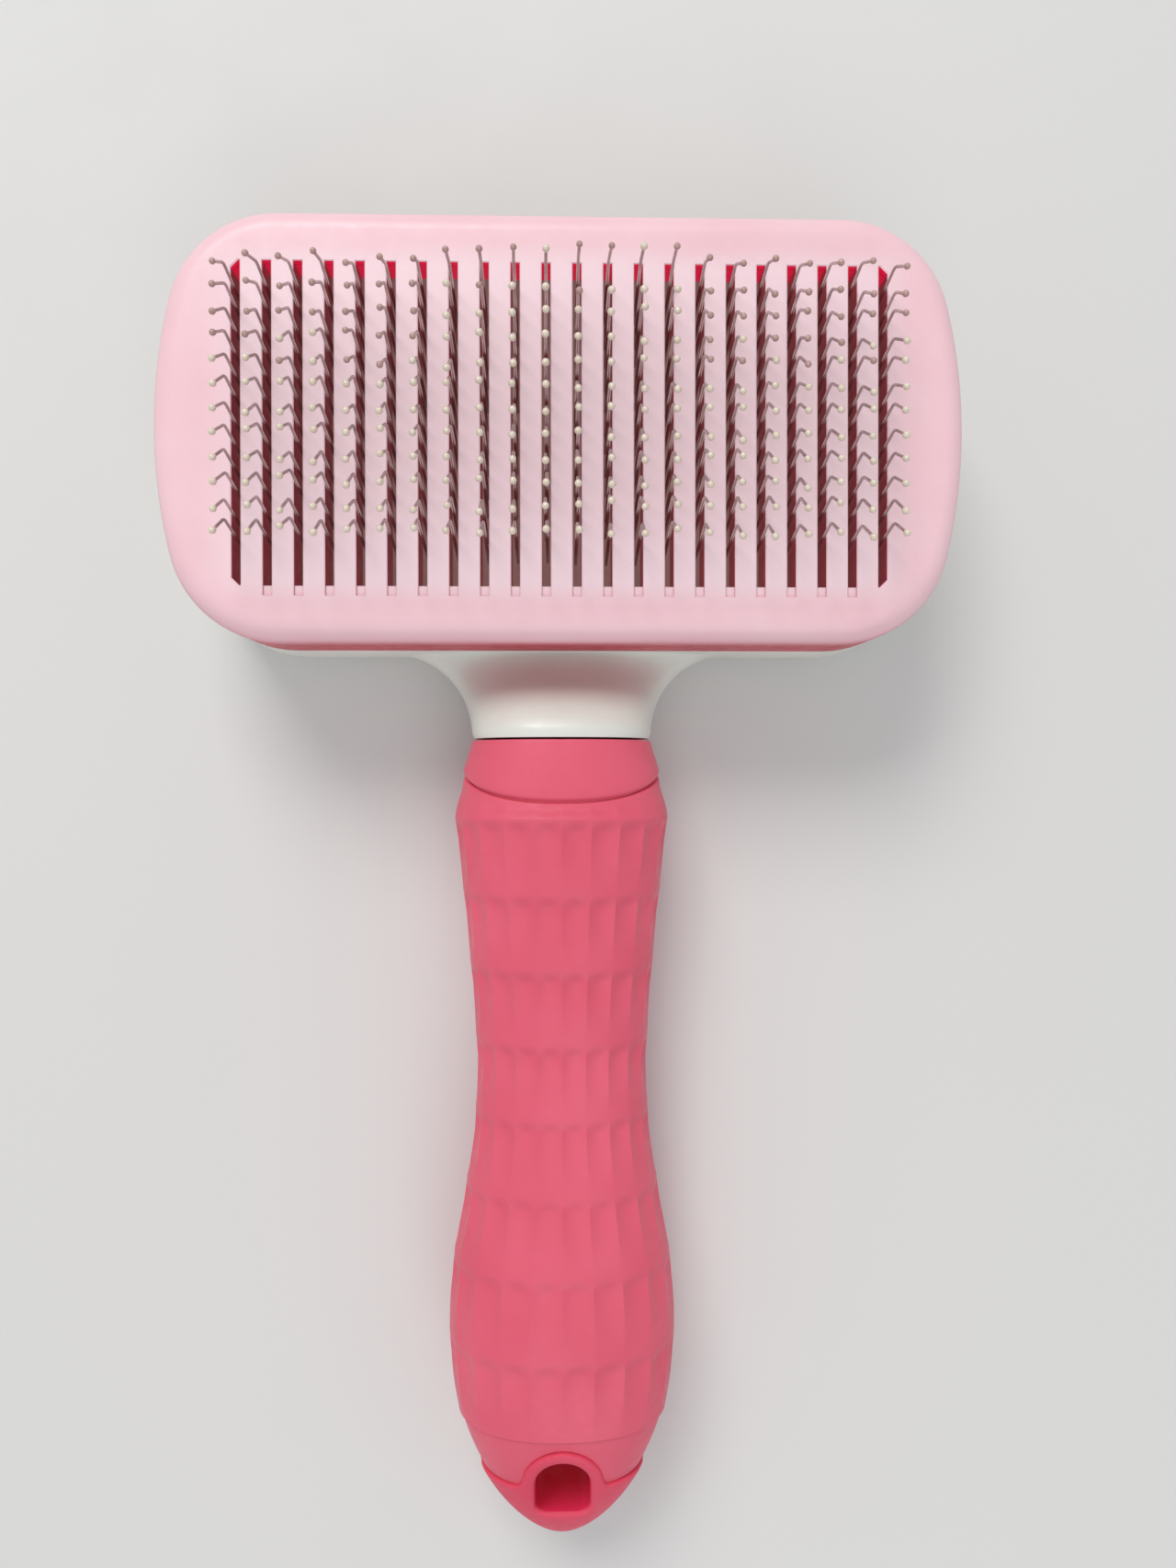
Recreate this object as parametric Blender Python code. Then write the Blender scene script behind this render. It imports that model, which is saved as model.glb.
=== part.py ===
"""Self-cleaning slicker brush lying on its back, with its pins out.

Metres, +Z up, +Y towards the head, +X to the right. The origin is the middle of the brush in X and Y,
at the level it lies on. The pins, their bed and the push button slide down by PIN_TRAVEL.
"""
from math import asin, ceil, copysign, cos, hypot, pi, radians, sin, sqrt, tan

import bmesh
import bpy
from mathutils import Vector

MM = 0.001

# Clearances
GAP = 0.3 * MM              # between pieces that touch
RUN_GAP = 0.8 * MM          # under and beside pieces that slide
FIT_GAP = 0.15 * MM         # round a shaft that turns or slides in its hole

# Overall sizes
BRUSH_LENGTH = 179.4 * MM
HEAD_WIDTH = 105.2 * MM
HEAD_LENGTH = 55.4 * MM
HEAD_SIDE_RADIUS = 70 * MM
HEAD_CORNER_RADIUS = 14.6 * MM

# Head, from the back upwards
SHELL_FLOOR = 2.2 * MM
SHELL_WALL = 2.0 * MM
SHELL_DEPTH = 15.0 * MM
SHELL_EDGE_RADIUS = 7.0 * MM
SCREW_HEAD_HEIGHT = 1.2 * MM
PIN_TRAVEL = 10.5 * MM
RETAINER_THICKNESS = 2.0 * MM
BED_THICKNESS = 3.0 * MM
BED_TO_DECK = 2.7 * MM
DECK_THICKNESS = 3.8 * MM
PLATE_THICKNESS = 1.2 * MM
SKIRT_DEPTH = 5.0 * MM
SKIRT_WALL = 1.5 * MM
FACE_EDGE_RADIUS = 3.0 * MM
FRAME_WALL = 2.1 * MM
BED_INSET = 4.6 * MM

# Slots and pins
SLOT_PITCH = 3.95 * MM
SLOT_WIDTH = 1.3 * MM
SLOT_SIDE_MARGIN = 10.7 * MM
SLOT_END_MARGIN = 7.05 * MM
SLOT_CORNER_CUT = 1.0 * MM
WIRE_RADIUS = 0.22 * MM
BALL_RADIUS = 0.5 * MM
PIN_STEP = 2.9 * MM
PIN_FAR_MARGIN = 3.3 * MM   # last pin to the slot's end at the far (+Y) end
PIN_NEAR_MARGIN = 6.2 * MM  # first pin to the slot's end at the handle's side
KNEE_HEIGHT = 5.0 * MM
TIP_SINK = 0.2 * MM
LOWER_LEAN = radians(12)
UPPER_LEAN = radians(-23.5)
CROWN_WIDTH = 0.6 * MM

# Push button, guide posts, springs and screws
BUTTON_RADIUS = 11.0 * MM
BUTTON_WALL = 2.0 * MM
BUTTON_RECESS = 0.4 * MM
BUTTON_FLOOR = 2.0 * MM
FLANGE_WIDTH = 1.5 * MM
FLANGE_THICKNESS = 1.2 * MM
STEM_RADIUS = 3.0 * MM
POST_RADIUS = 1.0 * MM
POST_INSET = 7.4 * MM
POST_SPREAD = 16.0 * MM
POST_SEAT = 2.0 * MM
SPRING_WIRE_RADIUS = 0.17 * MM
SPRING_RADIUS = 1.7 * MM
SPRING_TURNS = 3.5
SCREW_RADIUS = 0.9 * MM
SCREW_HEAD_RADIUS = 1.8 * MM
BOSS_RADIUS = 2.3 * MM
BOSS_INSET = SKIRT_WALL + GAP + BOSS_RADIUS   # so that the bosses stay under the deck
CARRIER_SCREW_X = 25.0 * MM
CARRIER_SCREW_MARGIN = 4.2 * MM   # from the bed's edge

# Latch arm beside the button
LATCH_LENGTH = 13.8 * MM
LATCH_WIDTH = 2.4 * MM
LATCH_NOSE_WIDTH = 1.2 * MM
LATCH_NOSE_DEPTH = 0.9 * MM
LATCH_THICKNESS = 1.2 * MM
LATCH_SWING = radians(12.5)
LATCH_PIN_RADIUS = 0.8 * MM
GROOVE_DEPTH = 1.3 * MM

# Neck, collar and handle
HANDLE_FLATNESS = 0.823     # height of the handle's section as a share of its width
SECTION_POWER = 2.3         # 2 is an ellipse, higher is squarer
NECK_LENGTH = 12.1 * MM
NECK_HALF_WIDTH = 12.5 * MM
NECK_FILLET = 12.5 * MM
NECK_ROOT_LEVEL = 2.6 * MM
COLLAR_LENGTH = 4.6 * MM
COLLAR_FLARE = 1.2 * MM
SEAM_SAG = 3.7 * MM
SHOULDER_HALF_WIDTH = 14.9 * MM
SHOULDER_DISTANCE = 6.2 * MM
WAIST_HALF_WIDTH = 11.9 * MM
BULGE_HALF_WIDTH = 15.8 * MM
NOSE_POWER = 2.4            # the end narrows as (1 - share ** NOSE_POWER) ** NOSE_FALL
NOSE_FALL = 0.7
BULGE_TO_END = 31.7 * MM
CORE_HALF_WIDTH = 7.5 * MM
CORE_HALF_HEIGHT = 5.5 * MM
CORE_SPIGOT = 4.8 * MM
END_LENGTH = 18.4 * MM
HANG_HOLE_WIDTH = 7.4 * MM
HANG_HOLE_LENGTH = 9.0 * MM
HANG_HOLE_FROM_END = 6.5 * MM

# Levels and places worked out from the sizes above
HEAD_Y = BRUSH_LENGTH / 2 - HEAD_LENGTH / 2
RETAINER_BOTTOM = SHELL_FLOOR + RUN_GAP + SCREW_HEAD_HEIGHT + PIN_TRAVEL
RETAINER_TOP = RETAINER_BOTTOM + RETAINER_THICKNESS
BED_BOTTOM = RETAINER_TOP + GAP
BED_TOP = BED_BOTTOM + BED_THICKNESS
DECK_BOTTOM = BED_TOP + BED_TO_DECK
DECK_TOP = DECK_BOTTOM + DECK_THICKNESS
PLATE_BOTTOM = DECK_TOP + GAP
FACE_LEVEL = PLATE_BOTTOM + PLATE_THICKNESS
SKIRT_LEVEL = FACE_LEVEL - SKIRT_DEPTH
RING_TOP = SKIRT_LEVEL - GAP
RING_BOTTOM = SHELL_DEPTH + GAP
BUTTON_TOP = RETAINER_BOTTOM - GAP
SLOT_HALF_LENGTH = HEAD_LENGTH / 2 - SLOT_END_MARGIN
SLOT_COUNT = int((HEAD_WIDTH - 2 * SLOT_SIDE_MARGIN) / SLOT_PITCH) + 1
PIN_FIRST_Y = -SLOT_HALF_LENGTH + PIN_NEAR_MARGIN
PIN_COUNT = int(round((2 * SLOT_HALF_LENGTH - PIN_NEAR_MARGIN - PIN_FAR_MARGIN) / PIN_STEP)) + 1
TIP_HEIGHT = PIN_TRAVEL - TIP_SINK
HANDLE_LEVEL = BULGE_HALF_WIDTH * HANDLE_FLATNESS
COLLAR_FRONT = HEAD_Y - HEAD_LENGTH / 2 - NECK_LENGTH - GAP
SEAM_Y = COLLAR_FRONT - COLLAR_LENGTH
SHOULDER_Y = SEAM_Y - SHOULDER_DISTANCE
END_Y = -BRUSH_LENGTH / 2
BULGE_Y = END_Y + BULGE_TO_END
WAIST_Y = SHOULDER_Y + 0.489 * (BULGE_Y - SHOULDER_Y)
CORE_STEP_Y = END_Y + END_LENGTH

ARC_STEPS = 3
CORNER_STEPS = 5
SECTION_STEPS = 16
ROUND_STEPS = 8


# Helpers

def material(name, colour, roughness, metallic=0.0):
    """A plain Principled material, made once for each name."""
    made = bpy.data.materials.get(name)
    if made is None:
        made = bpy.data.materials.new(name)
        made.use_nodes = True
        shader = made.node_tree.nodes["Principled BSDF"]
        shader.inputs["Base Color"].default_value = (*colour, 1.0)
        shader.inputs["Roughness"].default_value = roughness
        shader.inputs["Metallic"].default_value = metallic
    return made


def add_object(name, bm, finish, location=(0, 0, 0), parent=None):
    """Turn a bmesh into a named object with its faces pointing out."""
    bmesh.ops.recalc_face_normals(bm, faces=bm.faces)
    mesh = bpy.data.meshes.new(name)
    bm.to_mesh(mesh)
    bm.free()
    mesh.shade_smooth()
    mesh.set_sharp_from_angle(angle=radians(40))
    mesh.materials.append(finish)
    made = bpy.data.objects.new(name, mesh)
    bpy.context.scene.collection.objects.link(made)
    made.parent = parent
    made.location = location
    return made


def add_empty(name, location):
    """An empty that marks a joint's axis."""
    empty = bpy.data.objects.new(name, None)
    empty.location = location
    bpy.context.scene.collection.objects.link(empty)
    return empty


def cut(target, name, bm, location=(0, 0, 0), parent=None):
    """Take a cutter made from a bmesh away from the target."""
    cutter = add_object(name, bm, material("cutter", (1, 1, 1), 1.0), location, parent)
    cutter.hide_render = True
    cutter.display_type = "WIRE"
    boolean = target.modifiers.new(name, "BOOLEAN")
    boolean.operation = "DIFFERENCE"
    boolean.solver = "EXACT"
    boolean.object = cutter


def join(target, name, bm, location=(0, 0, 0)):
    """Unite a shape made from a bmesh with the target."""
    added = add_object(name, bm, target.data.materials[0], location)
    added.hide_render = True
    added.display_type = "WIRE"
    boolean = target.modifiers.new(name, "BOOLEAN")
    boolean.operation = "UNION"
    boolean.solver = "EXACT"
    boolean.object = added


def add_loft(bm, rings):
    """Bridge rings of points into one closed body with flat ends."""
    loops = [[bm.verts.new(point) for point in ring] for ring in rings]
    for below, above in zip(loops, loops[1:]):
        for i in range(len(below)):
            j = (i + 1) % len(below)
            bm.faces.new((below[i], below[j], above[j], above[i]))
    bm.faces.new(reversed(loops[0]))
    bm.faces.new(loops[-1])


def loft(rings):
    bm = bmesh.new()
    add_loft(bm, rings)
    return bm


def at_level(outline, z):
    return [(x, y, z) for x, y in outline]


def prism(outline, bottom, top):
    return loft([at_level(outline, bottom), at_level(outline, top)])


def circle(radius, steps, centre=(0, 0)):
    return [(centre[0] + radius * cos(2 * pi * i / steps), centre[1] + radius * sin(2 * pi * i / steps))
            for i in range(steps)]


def turned(profile, steps):
    """A body turned about Z from (radius, level) points, open at neither end."""
    return loft([at_level(circle(radius, steps), z) for radius, z in profile])


def arc(centre, radius, start, end, steps):
    return [(centre[0] + radius * cos(start + (end - start) * i / steps),
             centre[1] + radius * sin(start + (end - start) * i / steps)) for i in range(steps + 1)]


def mirrored(quarter):
    """Close a first-quadrant outline, from the +X axis to the +Y axis, over the other three."""
    right = [(x, -y) for x, y in reversed(quarter) if y > 1e-9] + quarter
    return right + [(-x, y) for x, y in reversed(right)]


def head_outline(inset):
    """Rounded rectangle with bowed sides, moved in by inset."""
    corner_y = HEAD_LENGTH / 2 - HEAD_CORNER_RADIUS
    side_x = HEAD_WIDTH / 2 - HEAD_SIDE_RADIUS
    reach = HEAD_SIDE_RADIUS - HEAD_CORNER_RADIUS
    corner_x = side_x + sqrt(reach ** 2 - corner_y ** 2)
    turn = asin(corner_y / reach)
    quarter = arc((side_x, 0), HEAD_SIDE_RADIUS - inset, 0, turn, 2)[:-1]
    quarter += arc((corner_x, corner_y), HEAD_CORNER_RADIUS - inset, turn, pi / 2, CORNER_STEPS)
    return mirrored(quarter)


def head_corner(inset):
    """The point of the head's +X +Y corner at 45 degrees, moved in by inset."""
    corner_y = HEAD_LENGTH / 2 - HEAD_CORNER_RADIUS
    reach = HEAD_SIDE_RADIUS - HEAD_CORNER_RADIUS
    corner_x = HEAD_WIDTH / 2 - HEAD_SIDE_RADIUS + sqrt(reach ** 2 - corner_y ** 2)
    step = (HEAD_CORNER_RADIUS - inset) * sqrt(0.5)
    return corner_x + step, corner_y + step


def four_corners(x, y):
    return [(x, y), (-x, y), (-x, -y), (x, -y)]


def head_loft(profile):
    """A body from (inset, level) points of the head's outline."""
    return loft([at_level(head_outline(inset), z) for inset, z in profile])


def edge_arc(radius, inset, level, start, end):
    """(inset, level) points of a rounded edge, whose centre is at the given inset and level."""
    return [(inset - x, level + z) for x, z in arc((0, 0), radius, start, end, ARC_STEPS)]


def comb(width, near, far, bottom, top, corner_cut=0.0):
    """One prism for each slot, the outer two with their outer corners cut off."""
    bm = bmesh.new()
    half = width / 2
    for column in range(SLOT_COUNT):
        x = column_x(column)
        left = corner_cut if column == 0 else 0.0
        right = corner_cut if column == SLOT_COUNT - 1 else 0.0
        outline = [(x - half + left, near), (x + half - right, near), (x + half, near + right),
                   (x + half, far - right), (x + half - right, far), (x - half + left, far),
                   (x - half, far - left), (x - half, near + left)]
        corners = [p for i, p in enumerate(outline) if hypot(p[0] - outline[i - 1][0],
                                                             p[1] - outline[i - 1][1]) > 1e-7]
        add_loft(bm, [at_level(corners, bottom), at_level(corners, top)])
    return bm


def column_x(column):
    return (column - (SLOT_COUNT - 1) / 2) * SLOT_PITCH


def holes(places, radius, bottom, top, steps=ROUND_STEPS):
    bm = bmesh.new()
    for place in places:
        outline = circle(radius, steps, place)
        add_loft(bm, [at_level(outline, bottom), at_level(outline, top)])
    return bm


def section(half_width, half_height, y, level=HANDLE_LEVEL, sag=0.0, power=SECTION_POWER):
    """A rounded section across the handle, whose top and bottom can lag behind its sides."""
    ring = []
    for i in range(SECTION_STEPS):
        angle = 2 * pi * i / SECTION_STEPS
        x, z = cos(angle), sin(angle)
        x, z = copysign(abs(x) ** (2 / power), x), copysign(abs(z) ** (2 / power), z)
        ring.append((half_width * x, y - sag * abs(z) ** 1.3, level + half_height * z))
    return ring


def handle_half_width(y):
    """Half the handle's width along its length: shoulder, waist, bulge and blunt-pointed end."""
    if y <= BULGE_Y:
        share = min(1.0, (BULGE_Y - y) / BULGE_TO_END)
        return BULGE_HALF_WIDTH * (1 - share ** NOSE_POWER) ** NOSE_FALL
    if y <= WAIST_Y:
        share = ((WAIST_Y - y) / (WAIST_Y - BULGE_Y)) ** 1.15
        return WAIST_HALF_WIDTH + (BULGE_HALF_WIDTH - WAIST_HALF_WIDTH) * (1 - cos(pi * share)) / 2
    if y <= SHOULDER_Y:
        share = ((y - WAIST_Y) / (SHOULDER_Y - WAIST_Y)) ** 1.35
        return WAIST_HALF_WIDTH + (SHOULDER_HALF_WIDTH - WAIST_HALF_WIDTH) * share
    share = min(1.0, (y - SHOULDER_Y) / (SEAM_Y - SHOULDER_Y))
    seam_half_width = NECK_HALF_WIDTH + COLLAR_FLARE
    return SHOULDER_HALF_WIDTH + (seam_half_width - SHOULDER_HALF_WIDTH) * (1 - cos(pi * share)) / 2


def screw(name, finish, length, location, parent=None, down=False):
    """A pan-head screw, its head's outer face at its origin and its shank along +Z, or -Z if down."""
    bm = turned([(SCREW_HEAD_RADIUS, 0), (SCREW_HEAD_RADIUS, SCREW_HEAD_HEIGHT),
                 (SCREW_RADIUS, SCREW_HEAD_HEIGHT), (SCREW_RADIUS, length)], ROUND_STEPS)
    made = add_object(name, bm, finish, location, parent)
    if down:
        made.rotation_euler = (pi, 0, 0)
    return made


# Pieces of the head that stay still

def make_face_plate():
    profile = [(0, SKIRT_LEVEL)]
    profile += edge_arc(FACE_EDGE_RADIUS, FACE_EDGE_RADIUS, FACE_LEVEL - FACE_EDGE_RADIUS, 0, pi / 2)
    plate = add_object("face_plate", head_loft(
        [(SKIRT_WALL, PLATE_BOTTOM), (SKIRT_WALL, SKIRT_LEVEL)] + profile),
        material("pale_pink_plastic", (0.92, 0.70, 0.74), 0.45), (0, HEAD_Y, 0))
    cut(plate, "plate_slots", comb(SLOT_WIDTH, -SLOT_HALF_LENGTH, SLOT_HALF_LENGTH, PLATE_BOTTOM - GAP,
                                   FACE_LEVEL + GAP, SLOT_CORNER_CUT), (0, HEAD_Y, 0))


def make_middle_frame(boss_places, post_places):
    deck_inset = SKIRT_WALL + GAP
    ring_inner = GAP + FRAME_WALL
    frame = add_object("middle_frame", head_loft(
        [(ring_inner, DECK_BOTTOM), (ring_inner, RING_BOTTOM), (GAP, RING_BOTTOM), (GAP, RING_TOP),
         (deck_inset, RING_TOP), (deck_inset, DECK_TOP)]),
        material("pink_plastic", (0.62, 0.06, 0.12), 0.4), (0, HEAD_Y, 0))
    join(frame, "frame_bosses", holes(boss_places, BOSS_RADIUS, RING_BOTTOM, DECK_BOTTOM + GAP),
         (0, HEAD_Y, 0))
    cut(frame, "deck_slots", comb(SLOT_WIDTH, -SLOT_HALF_LENGTH, SLOT_HALF_LENGTH, DECK_BOTTOM - GAP,
                                  DECK_TOP + GAP, SLOT_CORNER_CUT), (0, HEAD_Y, 0))
    cut(frame, "frame_screw_holes", holes(boss_places, SCREW_RADIUS + GAP, RING_BOTTOM - GAP,
                                          housing_screw_end() + GAP), (0, HEAD_Y, 0))
    cut(frame, "post_seats", holes(post_places, POST_RADIUS + FIT_GAP, DECK_BOTTOM - GAP,
                                   DECK_BOTTOM + POST_SEAT + GAP), (0, HEAD_Y, 0))


def housing_screw_end():
    return RING_BOTTOM + 0.6 * (DECK_BOTTOM - RING_BOTTOM)


def make_back_shell(boss_places, post_places):
    inner = SHELL_EDGE_RADIUS - SHELL_WALL
    outside = [(SHELL_EDGE_RADIUS - x, SHELL_EDGE_RADIUS + z)
               for x, z in arc((0, 0), SHELL_EDGE_RADIUS, -pi / 2, 0, ARC_STEPS)]
    inside = [(SHELL_EDGE_RADIUS - x, SHELL_FLOOR + inner + z)
              for x, z in arc((0, 0), inner, 0, -pi / 2, ARC_STEPS)]
    shell = add_object("back_shell", head_loft(
        outside + [(0, SHELL_DEPTH), (SHELL_WALL, SHELL_DEPTH)] + inside),
        material("white_plastic", (0.80, 0.79, 0.74), 0.4), (0, HEAD_Y, 0))
    join(shell, "shell_bosses", holes(boss_places, BOSS_RADIUS, shell_edge_level(BOSS_INSET - BOSS_RADIUS),
                                      SHELL_DEPTH), (0, HEAD_Y, 0))
    join(shell, "neck", neck_body())
    cut(shell, "button_hole", holes([(0, 0)], BUTTON_RADIUS + GAP, -GAP, SHELL_FLOOR + GAP, 24),
        (0, HEAD_Y, 0))
    cut(shell, "shell_screw_holes", holes(boss_places, SCREW_RADIUS + GAP, SHELL_FLOOR, SHELL_DEPTH + GAP),
        (0, HEAD_Y, 0))
    cut(shell, "shell_screw_heads", holes(boss_places, SCREW_HEAD_RADIUS + FIT_GAP, -GAP,
                                          screw_seat() + SCREW_HEAD_HEIGHT + GAP), (0, HEAD_Y, 0))
    cut(shell, "post_feet", holes(post_places, POST_RADIUS + FIT_GAP, SHELL_FLOOR / 2, SHELL_FLOOR + RUN_GAP),
        (0, HEAD_Y, 0))
    x, y = latch_pivot_place()
    cut(shell, "latch_pivot_hole", holes([(x, y)], LATCH_PIN_RADIUS + FIT_GAP, SHELL_FLOOR / 2,
                                         SHELL_FLOOR + GAP))
    cut(shell, "neck_socket", core_rod(COLLAR_FRONT - GAP, COLLAR_FRONT + CORE_SPIGOT + GAP, GAP))
    cut(shell, "neck_screw_hole", holes([(0, neck_screw_y())], SCREW_HEAD_RADIUS + FIT_GAP, -GAP,
                                        neck_screw_level() + SCREW_HEAD_HEIGHT + GAP))
    cut(shell, "neck_screw_shank_hole", holes([(0, neck_screw_y())], SCREW_RADIUS + GAP, 0, HANDLE_LEVEL))


def shell_edge_level(inset):
    """Level of the shell's rounded lower edge at a place moved in by inset."""
    return SHELL_EDGE_RADIUS - sqrt(SHELL_EDGE_RADIUS ** 2 - (SHELL_EDGE_RADIUS - inset) ** 2)


def screw_seat():
    """Level of the housing screws' outer faces, which lie just inside the shell's rounded edge."""
    return shell_edge_level(BOSS_INSET - SCREW_HEAD_RADIUS - FIT_GAP)


def neck_body():
    """The flared neck, from inside the shell's wall to the collar."""
    rings = []
    root_half_height = (SHELL_DEPTH - GAP - NECK_ROOT_LEVEL) / 2
    for share in (0, 0.25, 0.5, 0.7, 0.86, 0.96, 1):
        along = share * NECK_LENGTH
        flare = NECK_FILLET - sqrt(NECK_FILLET ** 2 - along ** 2)
        blend = (1 - cos(pi * share)) / 2
        half_height = NECK_HALF_WIDTH * HANDLE_FLATNESS * (1 - blend) + root_half_height * blend
        level = HANDLE_LEVEL * (1 - blend) + (NECK_ROOT_LEVEL + root_half_height) * blend
        rings.append(section(NECK_HALF_WIDTH + flare, half_height, COLLAR_FRONT + GAP + along, level))
    half_width = NECK_HALF_WIDTH + flare
    rings.append(section(half_width, root_half_height, HEAD_Y - HEAD_LENGTH / 2 + 0.9 * SHELL_WALL, level))
    return loft(rings)


# The pins' carrier, which slides

def triangle(half):
    """Corners of a wire's three-sided section: two on the +X side and one on the -X side."""
    return ((half, -half), (half, half), (-half, 0))


def pin_wire(bm, y):
    """One bent wire from the crown bar to its ball, with its foot open; returns the foot's corners."""
    knee = y + KNEE_HEIGHT * tan(LOWER_LEAN)
    tip = knee + (TIP_HEIGHT - KNEE_HEIGHT) * tan(UPPER_LEAN)
    foot = y - (FACE_LEVEL - BED_TOP) * tan(LOWER_LEAN)
    ball_drop = 1.1 * BALL_RADIUS
    stations = [(foot, BED_TOP, CROWN_WIDTH / 2), (knee, FACE_LEVEL + KNEE_HEIGHT, WIRE_RADIUS),
                (tip - ball_drop * tan(UPPER_LEAN), FACE_LEVEL + TIP_HEIGHT - ball_drop, WIRE_RADIUS),
                (tip, FACE_LEVEL + TIP_HEIGHT, BALL_RADIUS)]
    loops = [[bm.verts.new((sx, along + sy, level)) for sx, sy in triangle(half)]
             for along, level, half in stations]
    for below, above in zip(loops, loops[1:]):
        for i in range(3):
            j = (i + 1) % 3
            bm.faces.new((below[i], below[j], above[j], above[i]))
    top = bm.verts.new((0, tip, FACE_LEVEL + TIP_HEIGHT + BALL_RADIUS))
    for i in range(3):
        bm.faces.new((loops[-1][i], loops[-1][(i + 1) % 3], top))
    return loops[0]


def make_pin_row(column, finish, parent):
    """A column of pins on one crown bar: the bar's top is closed between the wires' feet."""
    bm = bmesh.new()
    feet = [pin_wire(bm, PIN_FIRST_Y + row * PIN_STEP) for row in range(PIN_COUNT)]
    half = CROWN_WIDTH / 2
    near = feet[0][0].co.y - CROWN_WIDTH
    far = feet[-1][1].co.y + CROWN_WIDTH
    bottom = [bm.verts.new((x, y, BED_BOTTOM)) for x, y in four_corners_box(-half, half, near, far)]
    ends = [bm.verts.new((x, y, BED_TOP)) for x, y in four_corners_box(-half, half, near, far)]
    right = [ends[1]] + [foot[i] for foot in feet for i in (0, 1)] + [ends[2]]
    left = [ends[0]] + [foot[2] for foot in feet] + [ends[3]]
    for i in range(len(left) - 1):
        bm.faces.new((right[2 * i], right[2 * i + 1], left[i + 1], left[i]))
    bm.faces.new([bottom[1], bottom[2]] + right[::-1])
    bm.faces.new([bottom[3], bottom[0]] + left)
    bm.faces.new((bottom[2], bottom[3], ends[3], ends[2]))
    bm.faces.new((bottom[0], bottom[1], ends[1], ends[0]))
    bm.faces.new(bottom)
    add_object(f"pin_row_{column + 1:02d}", bm, finish, (column_x(column), 0, 0), parent)


def make_bed(parent, boss_places, post_places):
    bed = add_object("pin_bed", prism(head_outline(BED_INSET), BED_BOTTOM, BED_TOP),
                     material("bed_plastic", (0.22, 0.13, 0.12), 0.6), parent=parent)
    near = PIN_FIRST_Y - (FACE_LEVEL - BED_TOP) * tan(LOWER_LEAN) - 1.5 * CROWN_WIDTH - GAP
    far = near + (PIN_COUNT - 1) * PIN_STEP + 3 * CROWN_WIDTH + 2 * GAP
    cut(bed, "bed_slits", comb(CROWN_WIDTH + 2 * GAP, near, far, BED_BOTTOM - GAP, BED_TOP + GAP),
        parent=parent)
    cut(bed, "bed_post_holes", holes(post_places, POST_RADIUS + FIT_GAP, BED_BOTTOM - GAP, BED_TOP + GAP),
        parent=parent)
    cut(bed, "bed_boss_notches", holes(boss_places, BOSS_RADIUS + RUN_GAP / 2, BED_BOTTOM - GAP,
                                       BED_TOP + GAP), parent=parent)
    cut(bed, "bed_screw_holes", holes(carrier_screw_places(), SCREW_RADIUS + FIT_GAP, BED_BOTTOM - GAP,
                                      BED_BOTTOM + 0.7 * BED_THICKNESS + GAP), parent=parent)


def carrier_screw_places():
    return four_corners(CARRIER_SCREW_X, HEAD_LENGTH / 2 - BED_INSET - CARRIER_SCREW_MARGIN)


def make_retainer(parent):
    half_width = HEAD_WIDTH / 2 - POST_INSET - POST_RADIUS - GAP - 1.0 * MM
    half_length = HEAD_LENGTH / 2 - BED_INSET - 2.4 * MM
    radius = 6 * MM
    outline = mirrored([(half_width, 0)] + arc((half_width - radius, half_length - radius), radius, 0,
                                               pi / 2, ARC_STEPS))
    retainer = add_object("pin_retainer", prism(outline, RETAINER_BOTTOM, RETAINER_TOP),
                          material("grey_plastic", (0.30, 0.30, 0.31), 0.5), parent=parent)
    cut(retainer, "retainer_screw_holes", holes(carrier_screw_places(), SCREW_RADIUS + FIT_GAP,
                                                RETAINER_BOTTOM - GAP, RETAINER_TOP + GAP), parent=parent)
    cut(retainer, "button_screw_hole", holes([(0, 0)], SCREW_RADIUS + FIT_GAP, RETAINER_BOTTOM - GAP,
                                             RETAINER_TOP + GAP), parent=parent)
    cut(retainer, "button_screw_recess", holes([(0, 0)], SCREW_HEAD_RADIUS + FIT_GAP,
                                               RETAINER_TOP - SCREW_HEAD_HEIGHT - FIT_GAP,
                                               RETAINER_TOP + GAP), parent=parent)


def make_button(parent):
    inner = BUTTON_RADIUS - BUTTON_WALL
    edge = 1.0 * MM
    floor = BUTTON_RECESS + BUTTON_FLOOR
    bore = SCREW_RADIUS + FIT_GAP
    screw_end = RETAINER_TOP - BUTTON_TOP + 4 * MM
    flange_radius = BUTTON_RADIUS + FLANGE_WIDTH
    button = add_object("push_button", turned(
        [(BUTTON_RADIUS - edge, BUTTON_RECESS), (BUTTON_RADIUS, BUTTON_RECESS + edge),
         (BUTTON_RADIUS, BUTTON_TOP - FLANGE_THICKNESS), (flange_radius, BUTTON_TOP - FLANGE_THICKNESS),
         (flange_radius, BUTTON_TOP), (inner, BUTTON_TOP), (inner, floor), (STEM_RADIUS, floor),
         (STEM_RADIUS, BUTTON_TOP), (bore, BUTTON_TOP), (bore, BUTTON_TOP - screw_end)], 24),
        material("button_plastic", (0.62, 0.06, 0.12), 0.4), parent=parent)
    cut(button, "flange_notch", prism(four_corners_box(BUTTON_RADIUS, flange_radius + GAP,
                                                       -latch_reach() - LATCH_WIDTH / 2 - 2 * GAP,
                                                       latch_reach() + LATCH_WIDTH / 2 + 2 * GAP),
                                      BUTTON_TOP - FLANGE_THICKNESS - GAP, BUTTON_TOP + GAP),
        parent=parent)
    cut(button, "latch_groove", groove_body(), parent=parent)


def four_corners_box(x0, x1, y0, y1):
    return [(x0, y0), (x1, y0), (x1, y1), (x0, y1)]


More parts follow.
